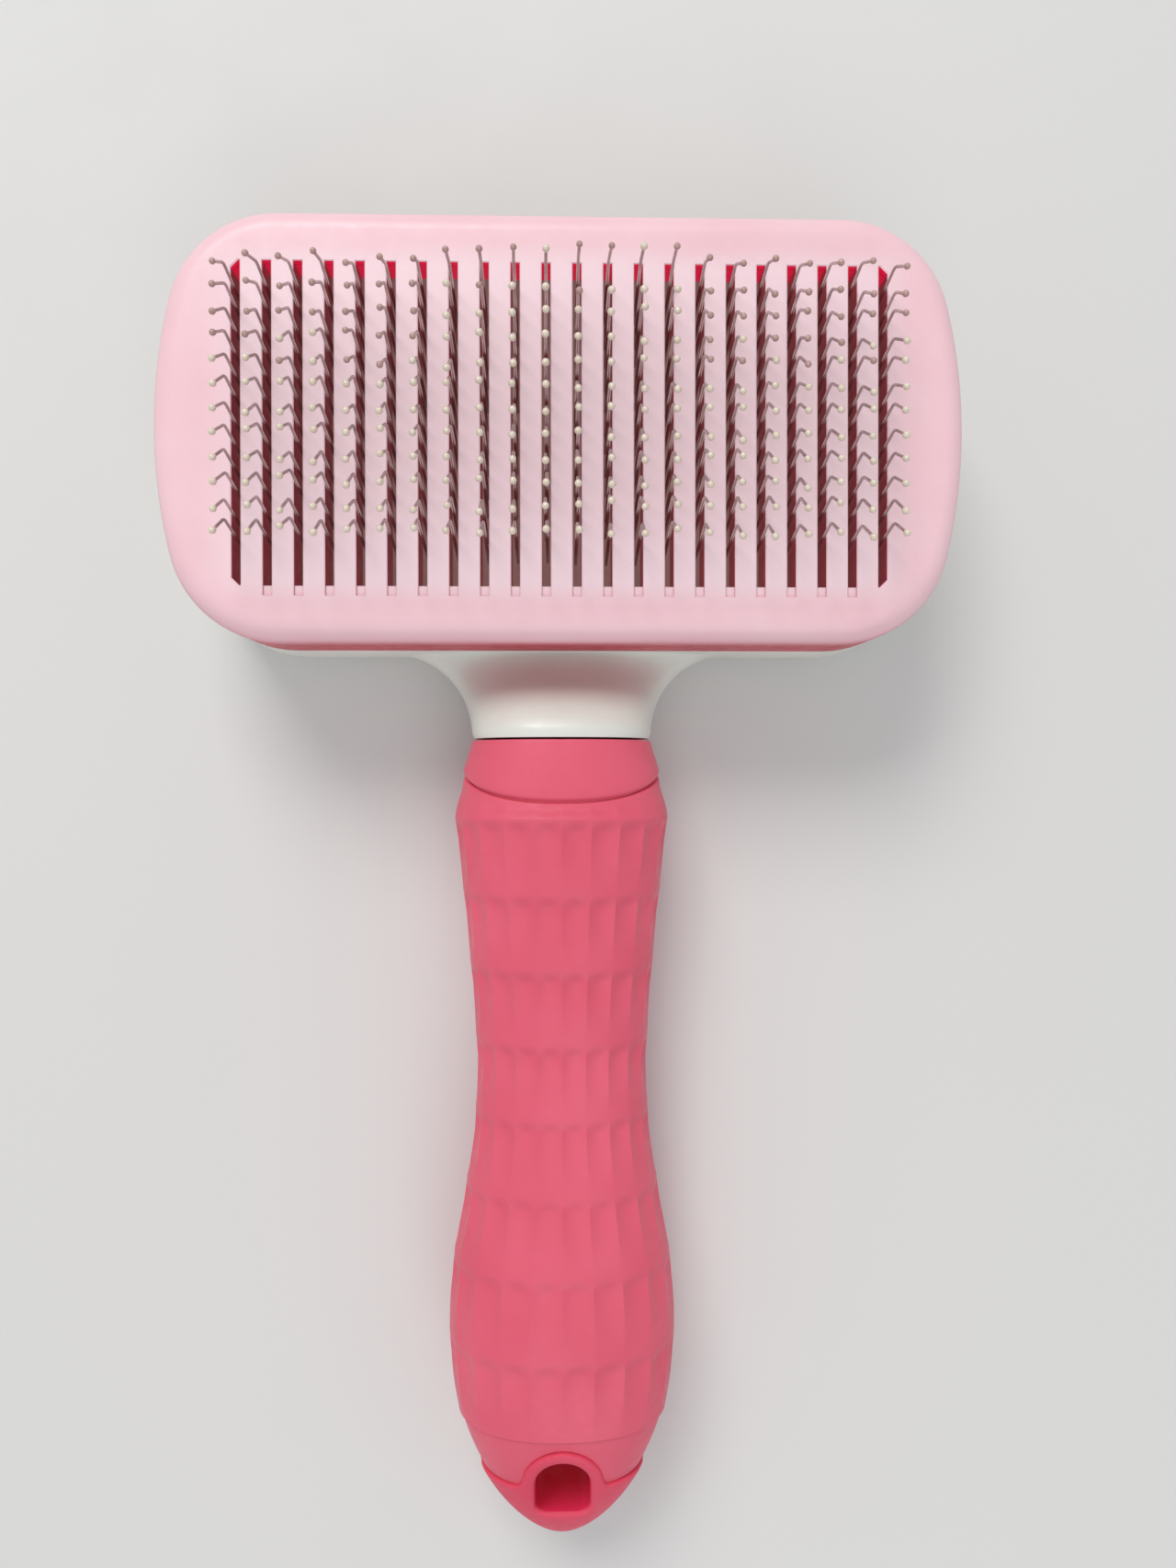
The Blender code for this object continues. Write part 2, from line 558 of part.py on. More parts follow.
def latch_reach():
    """How far the latch's nose moves to each side of its middle place."""
    return LATCH_LENGTH * sin(LATCH_SWING / 2)


def latch_level():
    return SHELL_FLOOR + GAP + 0.1 * MM


def groove_body():
    """The slanted groove in the button's side, in the button's own place at rest."""
    nose_level = latch_level() + LATCH_THICKNESS / 2
    half = LATCH_NOSE_WIDTH / 2 + 0.5 * MM
    slant = 2 * latch_reach() / PIN_TRAVEL
    low = nose_level - LATCH_THICKNESS / 2 - 2 * GAP
    high = BUTTON_TOP + GAP
    x0, x1 = BUTTON_RADIUS - GROOVE_DEPTH, BUTTON_RADIUS + FLANGE_WIDTH + GAP
    rings = []
    for z in (low, high):
        y = -latch_reach() + slant * (z - nose_level)
        rings.append(at_level(four_corners_box(x0, x1, y - half, y + half), z))
    return loft(rings)


def make_carrier_screws(steel, parent):
    for number, place in enumerate(carrier_screw_places(), 1):
        length = SCREW_HEAD_HEIGHT + GAP + RETAINER_THICKNESS + 0.7 * BED_THICKNESS
        screw(f"carrier_screw_{number}", steel, length,
              (*place, RETAINER_BOTTOM - SCREW_HEAD_HEIGHT - FIT_GAP), parent)
    screw("button_screw", steel, SCREW_HEAD_HEIGHT + RETAINER_THICKNESS + 3 * MM,
          (0, 0, RETAINER_TOP), parent, down=True)


# Posts, springs, latch and screws of the head

def helix_tube(radius, wire, turns, bottom, top):
    """A closed coil of wire about Z."""
    steps = int(ceil(turns * 8))
    rings = []
    for i in range(steps + 1):
        angle = 2 * pi * turns * i / steps
        centre = Vector((radius * cos(angle), radius * sin(angle), bottom + (top - bottom) * i / steps))
        out = Vector((cos(angle), sin(angle), 0))
        up = Vector((0, 0, 1))
        rings.append([centre + wire * (out * cos(a) + up * sin(a)) for a in (0, 2 * pi / 3, 4 * pi / 3)])
    return loft(rings)


def make_posts_and_springs(steel, post_places):
    for number, place in enumerate(post_places, 1):
        post = turned([(POST_RADIUS, SHELL_FLOOR / 2 + FIT_GAP), (POST_RADIUS, DECK_BOTTOM + POST_SEAT)],
                      ROUND_STEPS)
        add_object(f"guide_post_{number}", post, steel, (place[0], HEAD_Y + place[1], 0))
        spring = helix_tube(SPRING_RADIUS, SPRING_WIRE_RADIUS, SPRING_TURNS,
                            BED_TOP + SPRING_WIRE_RADIUS + GAP / 2, DECK_BOTTOM - SPRING_WIRE_RADIUS - GAP)
        add_object(f"return_spring_{number}", spring, steel, (place[0], HEAD_Y + place[1], 0))


def latch_pivot_place():
    return BUTTON_RADIUS - LATCH_NOSE_DEPTH + LATCH_LENGTH, HEAD_Y


def make_latch(steel):
    """The arm reaches from its pivot to the button's groove; it is made straight and turned to its rest."""
    bottom = latch_level()
    hub = LATCH_WIDTH / 2 + 0.3 * MM
    nose = LATCH_NOSE_WIDTH / 2
    nose_length = GROOVE_DEPTH + FLANGE_WIDTH
    outline = arc((0, 0), hub, -0.75 * pi, 0.75 * pi, 9)
    outline += [(-LATCH_LENGTH + nose_length + 1 * MM, nose + 0.3 * MM), (-LATCH_LENGTH + nose_length, nose),
                (-LATCH_LENGTH, nose), (-LATCH_LENGTH, -nose), (-LATCH_LENGTH + nose_length, -nose),
                (-LATCH_LENGTH + nose_length + 1 * MM, -nose - 0.3 * MM)]
    x, y = latch_pivot_place()
    arm = add_object("latch_arm", prism(outline, 0, LATCH_THICKNESS), steel, (x, y, bottom))
    arm.rotation_euler = (0, 0, LATCH_SWING / 2)
    bore = add_object("latch_bore", prism(circle(LATCH_PIN_RADIUS + FIT_GAP, 12), -GAP,
                                          LATCH_THICKNESS + GAP), steel, (x, y, bottom))
    bore.hide_render = True
    bore.display_type = "WIRE"
    boolean = arm.modifiers.new("latch_bore", "BOOLEAN")
    boolean.solver = "EXACT"
    boolean.object = bore
    pivot = turned([(LATCH_PIN_RADIUS, SHELL_FLOOR / 2 + FIT_GAP),
                    (LATCH_PIN_RADIUS, bottom + LATCH_THICKNESS + FIT_GAP)], 12)
    add_object("latch_pivot", pivot, steel, (x, y, 0))


def make_housing_screws(steel, boss_places):
    for number, place in enumerate(boss_places, 1):
        screw(f"housing_screw_{number}", steel, housing_screw_end() - screw_seat(),
              (place[0], HEAD_Y + place[1], screw_seat()))


# Handle

def core_rod(near, far, extra):
    """The rod inside the handle, or with some extra the bore that it fits."""
    half_width = CORE_HALF_WIDTH + extra
    half_height = CORE_HALF_HEIGHT + extra
    return loft([section(half_width, half_height, y) for y in (near, far)])


def neck_screw_y():
    return COLLAR_FRONT + CORE_SPIGOT / 2


def neck_screw_level():
    return HANDLE_LEVEL - NECK_HALF_WIDTH * HANDLE_FLATNESS + SCREW_HEAD_HEIGHT


def handle_ring(y, sag=0.0):
    half_width = handle_half_width(y)
    return section(half_width, half_width * HANDLE_FLATNESS, y, sag=sag)


def make_collar(pink):
    front_half = NECK_HALF_WIDTH + 0.1 * MM
    back_half = NECK_HALF_WIDTH + COLLAR_FLARE
    rim = 0.5 * MM
    rings = [section(CORE_HALF_WIDTH + GAP, CORE_HALF_HEIGHT + GAP, COLLAR_FRONT)]
    rings.append(section(front_half, front_half * HANDLE_FLATNESS, COLLAR_FRONT))
    rings.append(section(back_half, back_half * HANDLE_FLATNESS, SEAM_Y + 2 * rim, sag=SEAM_SAG))
    back_edge = back_half - rim
    rings.append(section(back_edge, back_edge * HANDLE_FLATNESS, SEAM_Y + GAP, sag=SEAM_SAG))
    rings.append(section(CORE_HALF_WIDTH + GAP, CORE_HALF_HEIGHT + GAP, SEAM_Y + GAP, sag=SEAM_SAG))
    add_tube("collar", rings, pink)


def add_tube(name, rings, finish):
    """A closed tube: its rings run once round its wall, and the last meets the first."""
    bm = bmesh.new()
    loops = [[bm.verts.new(point) for point in ring] for ring in rings]
    for below, above in zip(loops, loops[1:] + loops[:1]):
        for i in range(len(below)):
            j = (i + 1) % len(below)
            bm.faces.new((below[i], below[j], above[j], above[i]))
    return add_object(name, bm, finish)


def make_grip():
    rim = 0.5 * MM
    front = SEAM_Y - GAP
    front_half = handle_half_width(front) - rim
    bore = (CORE_HALF_WIDTH + GAP, CORE_HALF_HEIGHT + GAP)
    rings = [section(*bore, front, sag=SEAM_SAG), section(front_half, front_half * HANDLE_FLATNESS, front,
                                                          sag=SEAM_SAG)]
    stations = [(front - 2 * rim, 1.0), ((front + SHOULDER_Y) / 2 - rim, 0.5), (SHOULDER_Y, 0.0)]
    rings += [handle_ring(y, SEAM_SAG * share) for y, share in stations]
    back = CORE_STEP_Y + GAP
    spans = 14
    rings += [handle_ring(SHOULDER_Y + (BULGE_Y - SHOULDER_Y) * i / spans) for i in range(1, spans + 1)]
    rings += [handle_ring(BULGE_Y + (back - BULGE_Y) * share) for share in (0.4, 0.75, 1)]
    rings.append(section(*bore, back))
    add_tube("grip", rings, material("pink_rubber", (0.68, 0.10, 0.18), 0.65))


def make_handle_core(pink):
    rings = [section(CORE_HALF_WIDTH, CORE_HALF_HEIGHT, y)
             for y in (COLLAR_FRONT + CORE_SPIGOT, CORE_STEP_Y)]
    steps = 9
    start = asin((BULGE_Y - CORE_STEP_Y) / BULGE_TO_END)
    for i in range(steps):
        along = BULGE_TO_END * sin(start + (pi / 2 - start) * i / (steps + 0.6))
        rings.append(handle_ring(BULGE_Y - along))
    last = 1.0 * MM
    rings.append(section(last, last * HANDLE_FLATNESS, END_Y))
    core = add_object("handle_core", loft(rings), pink)
    cut(core, "hang_hole", prism(hang_hole_outline(), -GAP, 2 * HANDLE_LEVEL + GAP))
    cut(core, "core_screw_hole", holes([(0, neck_screw_y())], SCREW_RADIUS + FIT_GAP,
                                       HANDLE_LEVEL - CORE_HALF_HEIGHT - GAP, HANDLE_LEVEL))


def hang_hole_outline():
    """An arch: round towards the grip, square with small round corners towards the end."""
    half = HANG_HOLE_WIDTH / 2
    low = END_Y + HANG_HOLE_FROM_END
    corner = 1.5 * MM
    outline = arc((0, low + HANG_HOLE_LENGTH - half), half, 0, pi, 10)
    outline += arc((corner - half, low + corner), corner, pi, 1.5 * pi, 3)
    outline += arc((half - corner, low + corner), corner, 1.5 * pi, 2 * pi, 3)
    return outline


def main():
    for old in list(bpy.data.objects):
        bpy.data.objects.remove(old, do_unlink=True)
    steel = material("steel", (0.55, 0.55, 0.56), 0.35, 1.0)
    wire = material("steel_wire", (0.52, 0.50, 0.50), 0.3, 1.0)
    boss_places = four_corners(*head_corner(BOSS_INSET))
    post_places = four_corners(HEAD_WIDTH / 2 - POST_INSET, POST_SPREAD / 2)

    make_face_plate()
    make_middle_frame(boss_places, post_places)
    make_back_shell(boss_places, post_places)

    carrier = add_empty("pin_carrier_axis", (0, HEAD_Y, 0))
    make_bed(carrier, boss_places, post_places)
    make_retainer(carrier)
    make_button(carrier)
    make_carrier_screws(steel, carrier)
    for column in range(SLOT_COUNT):
        make_pin_row(column, wire, carrier)

    make_posts_and_springs(steel, post_places)
    make_latch(steel)
    make_housing_screws(steel, boss_places)

    pink = material("pink_plastic", (0.62, 0.06, 0.12), 0.4)
    make_collar(pink)
    make_grip()
    make_handle_core(pink)
    shank_end = HANDLE_LEVEL - GAP
    screw("neck_screw", steel, shank_end - neck_screw_level(), (0, neck_screw_y(), neck_screw_level()))


main()
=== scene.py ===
"""Looks of a self-cleaning slicker brush lying on its back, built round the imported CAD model.

Shapes are written in millimetres in the CAD frame: +X right, +Y towards the head, +Z up to the pins.
"""
import random
from math import asin, copysign, cos, hypot, pi, radians, sin, sqrt, tan

import bmesh
import bpy
from mathutils import Matrix, Vector


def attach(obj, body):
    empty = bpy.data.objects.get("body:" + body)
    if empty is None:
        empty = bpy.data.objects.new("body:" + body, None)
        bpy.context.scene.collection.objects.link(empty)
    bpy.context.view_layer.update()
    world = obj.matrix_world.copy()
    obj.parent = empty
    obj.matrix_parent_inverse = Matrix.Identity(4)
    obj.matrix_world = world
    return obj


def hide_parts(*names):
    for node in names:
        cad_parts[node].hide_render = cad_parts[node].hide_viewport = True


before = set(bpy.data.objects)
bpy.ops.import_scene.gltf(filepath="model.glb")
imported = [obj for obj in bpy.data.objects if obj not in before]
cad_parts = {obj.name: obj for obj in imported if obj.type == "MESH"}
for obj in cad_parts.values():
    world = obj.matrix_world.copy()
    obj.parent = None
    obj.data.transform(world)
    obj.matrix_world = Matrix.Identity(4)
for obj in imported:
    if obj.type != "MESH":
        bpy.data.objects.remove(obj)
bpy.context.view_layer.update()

MM = 0.001
MM_MATRIX = Matrix.Scale(MM, 4)

# Head, as in the CAD
HEAD_Y = 62.0
HEAD_WIDTH = 105.2
HEAD_LENGTH = 55.4
SIDE_RADIUS = 70.0
CORNER_RADIUS = 14.6
SHELL_WALL = 2.0
SHELL_FLOOR = 2.2
SHELL_TOP = 15.0
SHELL_EDGE = 7.0
RING_BOTTOM = 15.3
RING_TOP = 22.7
DECK_BOTTOM = 22.7
DECK_TOP = 26.7
PLATE_BOTTOM = 26.8
FACE = 28.0
SKIRT_BOTTOM = 23.0
FACE_EDGE = 3.0
BED_INSET = 4.6
BED_BOTTOM = 17.0
BED_TOP = 20.0
BUTTON_TOP = 14.4
POSTS = (45.2, 8.0)
POST_HOLE = 1.15
BOSS_INSET = 4.1
BOSS_RADIUS = 2.3

# Small edges of the head's parts, and how far their hidden walls lie inside its outline
EDGE_EASE = 0.25
EDGE_MIDDLE = 0.07
SKIRT_INSET = 1.5
RING_INSET = 0.08
TONGUE_INSETS = (2.3, 3.4)
TONGUE_DROP = 1.5
DECK_INSET = 1.8

# Push button: its face is a list of (radius, level) from the middle of the dish outwards
BUTTON_RADIUS = 11.0
BUTTON_FACE = ((0.9, 1.35), (4.2, 1.25), (7.2, 0.95), (8.1, 0.62), (8.6, 0.5), (9.1, 0.62), (9.5, 0.6),
               (9.9, 0.45), (10.3, 0.4), (10.7, 0.52), (10.93, 0.85), (BUTTON_RADIUS, 1.3))
BUTTON_GAP = 0.3
BUTTON_RIM = 0.5
BUTTON_HOLLOW = 9.0
BUTTON_CEILING = 3.4
STEM_RADIUS = 3.0
STEM_BORE = 1.05
STEM_BORE_END = 8.1
FLANGE_RADIUS = 12.5
FLANGE_THICKNESS = 1.2
GROOVE_SLANT = 0.29
GROOVE_HALF = 1.1
NOTCH_HALF = 3.3

# Screws
SCREW_HEAD = 1.8
SCREW_HEAD_HEIGHT = 1.2
SCREW_SHANK = 0.9
SCREW_ROOT = 0.72
THREAD_PITCH = 0.6
SCREW_SPACE = 0.15
SCREW_BORE = SCREW_HEAD + SCREW_SPACE
SCREW_HOLE = 1.2
CROSS_HALF = (1.05, 0.17)
CROSS_TURN = 0.3

# How far a cutter reaches past the face that it opens
PAST = 0.3

# Slots and pins
SLOT_COUNT = 22
SLOT_PITCH = 3.95
SLOT_HALF = 0.57
SLOT_HALF_LENGTH = 20.65
SLOT_CUT = 0.95
LEDGE_LENGTH = 1.25
LEDGE_LEVEL = 27.6
RIM = 0.12
PIN_COUNT = 12
PIN_STEP = 2.9
PIN_FIRST = HEAD_Y - 14.45
KNEE = 33.0
TIP = 38.25
LOWER_LEAN = radians(12)
UPPER_LEAN = radians(-23.5)
KNEE_BEND = 0.9
WIRE = 0.2
PAIR_SHIFT = 0.18
FOOT_JITTER = 0.22
FOOT_ASIDE = 0.12
TIP_JITTER = 0.22
TIP_DROP = 0.3
FAR_TIP_LEAN = 1.9
FAR_TIP_SPREAD = (0.1, 1.3)
FAR_TIP_COLUMNS = 3.6
# Painted shade: on the last rows towards the head's far end, fewer of them in the middle columns, the drops
# are darker and smaller.
SHADED_ROWS = (1.5, 4.5)
SHADED_COLUMNS = 4
SHADED_JITTER = 1.2

# Drop of resin on a tip: (distance along the wire, radius), and its size where it is painted in shade or
# plain
DROP_RADIUS = 0.5
DROP = ((-1.05, 0.21), (-0.8, 0.27), (-0.5, 0.37), (-0.25, 0.46), (0, DROP_RADIUS), (0.22, 0.45),
        (0.38, 0.32), (0.47, 0.16), (0.495, 0.05))
DROP_GAP = 0.03
SHADED_SIZE = (0.8, 0.88)
PLAIN_SIZE = (0.9, 0.97)

# Neck, collar and handle: SHOULDER, WAIST and BULGE are (place along the handle, half width)
HANDLE_LEVEL = 13.0
FLATNESS = 0.823
POWER = 2.3
NECK_HALF = 12.5
NECK_FILLET = 12.5
NECK_START = 22.2
NECK_LENGTH = 12.1
NECK_ROOT = (2.6, 14.7)
COLLAR_FRONT = 21.9
COLLAR_FRONT_HALF = NECK_HALF + 0.1
COLLAR_BACK_HALF = NECK_HALF + 1.2
NECK_SCREW = (0, COLLAR_FRONT + 2.4)
SEAM = 17.3
SEAM_GAP = 0.18
SEAM_SAG = 3.7
SAG_POWER = 1.3
SHOULDER = (11.1, 14.9)
WAIST = (-22.7, 11.9)
WAIST_POWER = 1.35
BULGE = (-58.0, 15.8)
BULGE_POWER = 1.15
END = -89.7
NOSE_POWER = 2.4
NOSE_FALL = 0.7
BORE = (7.8, 5.8)
CORE = (7.5, 5.5)

# Rounded edges of the collar and the grip: (distance from the edge, depth under the surface)
COLLAR_FRONT_EDGE = ((0, 0.35), (0.05, 0.16), (0.2, 0.03), (0.4, 0.0))
COLLAR_BACK_EDGE = ((0.3, 0.04), (0.12, 0.16), (0.03, 0.32), (0, 0.5))
COLLAR_TONGUE = ((0.0, 0.62), (-0.33, 0.66))
GRIP_EDGE = ((0, 0.5), (0.04, 0.3), (0.13, 0.14), (0.28, 0.04), (0.5, 0.0))

# Depth of the gate mark on the collar, ring by ring from the front
GATE_MARK = (0.3, 0.26, 0.2, 0.16, 0.1, 0.06, 0.03)
COLLAR_STEPS = 120

# Grip pattern
FLUTES = 22
FLUTE_STEPS = 10
FLUTE_DEPTH = 0.68
FLUTE_ONSET = 0.2
BAND_STEP = 0.12
BAND_ONSET = 0.3
SHOULDER_FLUTE = 0.14
BAND_FIRST = 11.3
BAND_PITCH = 10.07
LAST_BAND_PITCH = 10.8
BAND_EDGES = [BAND_FIRST - BAND_PITCH * i for i in range(7)]
BAND_EDGES += [BAND_EDGES[-1] - LAST_BAND_PITCH * i for i in (1, 2)]
BAND_STATIONS = [0.02 * i for i in range(1, 9)] + [0.2, 0.25, 0.3]
BAND_STATIONS += [0.36 + 0.09 * i for i in range(7)] + [1.0]
SLEEVE_END = -71.2
END_SUNK = 0.3
LIP_SUNK = 0.6

# Hang hole and the lip of the end cap
HOLE_HALF = 3.7
ARCH_Y = -78.0
HOLE_LOW = -83.2
HOLE_CORNER = 1.5
HOLE_FILLET = 0.9
HOLE_PAST = 4.0
HOLE_MARGIN = 0.25
ARCH_RING = 5.5
LIP_Y = -78.6
LIP_FILLET = 0.8
LIP_GAP = 0.04
CAP_FIRST = -70.0
CAP_VOXEL = 0.24

# Numbers of the materials on the plate and the frame, and on a row of pins
OUTSIDE = 0
SLOT_SIDE = 1
SLOT_END = 2
PLAIN_DROP = 1
# Drops painted in shade take this darker resin.
SHADED_DROP = 2

random.seed(7)


# Mesh helpers

def add_piece(name, bm, materials, body, stands_for=(), angle=35):
    """Turn a bmesh in millimetres into a named piece that rides on a CAD body."""
    bmesh.ops.recalc_face_normals(bm, faces=bm.faces)
    made = raw_object(name, bm)
    dress(made, materials, angle)
    return mount(made, body, stands_for)


def raw_object(name, bm):
    bm.transform(MM_MATRIX)
    mesh = bpy.data.meshes.new(name)
    bm.to_mesh(mesh)
    bm.free()
    made = bpy.data.objects.new(name, mesh)
    bpy.context.scene.collection.objects.link(made)
    return made


def dress(made, materials, angle=35):
    for material in materials:
        made.data.materials.append(material)
    made.data.shade_smooth()
    made.data.set_sharp_from_angle(angle=radians(angle))


def mount(made, body, stands_for=()):
    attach(made, body)
    if stands_for:
        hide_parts(*stands_for)
    return made


def bridge(bm, below, above, material=0):
    """Quads between two loops of vertices with the same count."""
    made = []
    for i in range(len(below)):
        j = (i + 1) % len(below)
        face = bm.faces.new((below[i], below[j], above[j], above[i]))
        face.material_index = material
        made.append(face)
    return made


def add_rings(bm, rings, close=False, caps=True):
    """Bridge rings of points; with close, the last ring meets the first."""
    loops = [[bm.verts.new(point) for point in ring] for ring in rings]
    for below, above in zip(loops, loops[1:]):
        bridge(bm, below, above)
    if close:
        bridge(bm, loops[-1], loops[0])
    elif caps:
        bm.faces.new(loops[0][::-1])
        bm.faces.new(loops[-1])
    return loops


def loft(rings, close=False):
    bm = bmesh.new()
    add_rings(bm, rings, close)
    return bm


def at_level(outline, z):
    return [(x, y, z) for x, y in outline]


def circle(radius, steps, centre=(0, 0)):
    return [(centre[0] + radius * cos(2 * pi * i / steps), centre[1] + radius * sin(2 * pi * i / steps))
            for i in range(steps)]


def turned(profile, steps, centre=(0, 0)):
    return [at_level(circle(radius, steps, centre), z) for radius, z in profile]


def arc(centre, radius, start, end, steps):
    return [(centre[0] + radius * cos(start + (end - start) * i / steps),
             centre[1] + radius * sin(start + (end - start) * i / steps)) for i in range(steps + 1)]


def carve(target, cutters, operation="DIFFERENCE"):
    """Apply booleans to the target and throw the cutters away."""
    for cutter in cutters:
        boolean = target.modifiers.new("boolean", "BOOLEAN")
        boolean.operation = operation
        boolean.solver = "EXACT"
        boolean.object = cutter
    bake(target)
    for cutter in cutters:
        bpy.data.objects.remove(cutter, do_unlink=True)


def bake(target):
    """Replace a piece's mesh by what its modifiers make of it."""
    graph = bpy.context.evaluated_depsgraph_get()
    mesh = bpy.data.meshes.new_from_object(target.evaluated_get(graph))
    target.modifiers.clear()
    target.data = mesh


def solid(rings):
    """A temporary closed body for a boolean."""
    bm = loft(rings)
    bmesh.ops.recalc_face_normals(bm, faces=bm.faces)
    return raw_object("cutter", bm)


def pillar(place, radius, low, high, steps=24):
    """A temporary upright cylinder for a boolean."""
    return solid(turned([(radius, low), (radius, high)], steps, place))


def rectangle(x0, x1, y0, y1):
    return [(x0, y0), (x1, y0), (x1, y1), (x0, y1)]


# Materials

def calculate(tree, operation, first, second, third=0.0):
    """A math node whose inputs are numbers or other nodes' outputs."""
    node = tree.nodes.new("ShaderNodeMath")
    node.operation = operation
    for socket, value in zip(node.inputs, (first, second, third)):
        if isinstance(value, float):
            socket.default_value = value
        else:
            tree.links.new(value, socket)
    return node.outputs[0]


def towards(tree, colour, under, value, full, none, share):
    """Mix colour in by share where value is at full, and not at all where it is at none."""
    amount = tree.nodes.new("ShaderNodeMapRange")
    amount.interpolation_type = "SMOOTHSTEP"
    amount.inputs["From Min"].default_value = full
    amount.inputs["From Max"].default_value = none
    amount.inputs["To Min"].default_value = share
    amount.inputs["To Max"].default_value = 0.0
    tree.links.new(value, amount.inputs["Value"])
    mix = tree.nodes.new("ShaderNodeMixRGB")
    mix.inputs["Color2"].default_value = (*colour, 1)
    tree.links.new(amount.outputs["Result"], mix.inputs["Fac"])
    tree.links.new(under, mix.inputs["Color1"])
    return mix.outputs["Color"]


def finish(name, light, dark, roughness, grain, depth, patches=70.0, metallic=0.0, coat=0.0,
           coat_roughness=0.2, sheen=0.0, stretch=(1, 1, 1), specular=0.5, glow=None, fade=None,
           middle=None):
    """A moulded or drawn surface: two tones in soft patches, a fine grain in the bump, and uneven gloss.

    roughness is (low, high), grain the grain's frequency for each metre, depth its height in millimetres.
    glow is painted light: an emission that stands in for light reaching surfaces deep in the slots, where a
    deep slot would look black.
    fade is (colour, upper level, lower level, share): the tone changes towards colour between two heights.
    middle is (colour, half width, half length, share): the same towards the middle of the head.
    """
    made = bpy.data.materials.new(name)
    made.use_nodes = True
    tree = made.node_tree
    shader = tree.nodes["Principled BSDF"]
    shader.inputs["Metallic"].default_value = metallic
    shader.inputs["Coat Weight"].default_value = coat
    shader.inputs["Coat Roughness"].default_value = coat_roughness
    shader.inputs["Sheen Weight"].default_value = sheen
    shader.inputs["Specular IOR Level"].default_value = specular
    if glow:
        shader.inputs["Emission Color"].default_value = (*glow, 1)
        shader.inputs["Emission Strength"].default_value = 1.0
    where = tree.nodes.new("ShaderNodeTexCoord")
    mapping = tree.nodes.new("ShaderNodeMapping")
    mapping.inputs["Scale"].default_value = stretch
    tree.links.new(where.outputs["Object"], mapping.inputs["Vector"])

    def noise(scale, detail):
        texture = tree.nodes.new("ShaderNodeTexNoise")
        texture.inputs["Scale"].default_value = scale
        texture.inputs["Detail"].default_value = detail
        tree.links.new(mapping.outputs["Vector"], texture.inputs["Vector"])
        return texture.outputs[0]

    ramp = tree.nodes.new("ShaderNodeValToRGB")
    ramp.color_ramp.elements[0].position = 0.32
    ramp.color_ramp.elements[0].color = (*dark, 1)
    ramp.color_ramp.elements[1].position = 0.68
    ramp.color_ramp.elements[1].color = (*light, 1)
    tree.links.new(noise(patches, 5), ramp.inputs["Fac"])
    tone = ramp.outputs["Color"]
    place = tree.nodes.new("ShaderNodeSeparateXYZ")
    tree.links.new(where.outputs["Object"], place.inputs["Vector"])
    if middle:
        colour, half_wide, half_long, share = middle
        across = calculate(tree, "DIVIDE", place.outputs["X"], half_wide * MM)
        across = calculate(tree, "ABSOLUTE", across, 0.0)
        along = calculate(tree, "SUBTRACT", place.outputs["Y"], HEAD_Y * MM)
        along = calculate(tree, "DIVIDE", along, half_long * MM)
        along = calculate(tree, "ABSOLUTE", along, 0.0)
        off_middle = calculate(tree, "SMOOTH_MAX", across, along, 0.2)
        tone = towards(tree, colour, tone, off_middle, 0.9, 1.08, share)
    if fade:
        colour, upper, lower, share = fade
        tone = towards(tree, colour, tone, place.outputs["Z"], lower * MM, upper * MM, share)
    tree.links.new(tone, shader.inputs["Base Color"])

    gloss = tree.nodes.new("ShaderNodeMapRange")
    gloss.inputs["From Min"].default_value = 0.35
    gloss.inputs["From Max"].default_value = 0.65
    gloss.inputs["To Min"].default_value = roughness[0]
    gloss.inputs["To Max"].default_value = roughness[1]
    tree.links.new(noise(grain * 0.22, 4), gloss.inputs["Value"])
    tree.links.new(gloss.outputs["Result"], shader.inputs["Roughness"])

    bump = tree.nodes.new("ShaderNodeBump")
    bump.inputs["Strength"].default_value = 0.6
    bump.inputs["Distance"].default_value = depth * MM
    tree.links.new(noise(grain, 3), bump.inputs["Height"])
    tree.links.new(bump.outputs["Normal"], shader.inputs["Normal"])
    return made


def linear(red, green, blue):
    """A screen colour from 0 to 255 as a linear one."""
    return tuple((c / 255 / 12.92) if c <= 10 else ((c / 255 + 0.055) / 1.055) ** 2.4
                 for c in (red, green, blue))


# Painted light on the pale plate: the tone turns deep pink towards the rim's lower edge, standing in for
# the deep pink frame showing through the translucent edge, and it lightens towards the middle of the head
# to offset the shade of the pins.
PALE_PINK = finish("pale_pink_plastic", linear(250, 209, 217), linear(247, 201, 210), (0.34, 0.44),
                   2600, 0.012, fade=(linear(206, 58, 84), 27.0, 24.2, 0.85),
                   middle=(linear(255, 229, 236), 43.5, 21.8, 0.75))
DEEP_PINK = finish("deep_pink_plastic", linear(205, 44, 72), linear(188, 34, 62), (0.34, 0.46), 2400, 0.012)
# Painted light in the slots: a duller copy of the deep pink for the slot walls in shade, with a faint glow
# so that they don't go black.
SLOT_WALL_PAINTED_PINK = finish("slot_wall_painted_light", linear(186, 56, 70), linear(168, 46, 62), (0.34, 0.46), 2400, 0.012,
                   glow=(0.05, 0.014, 0.017))
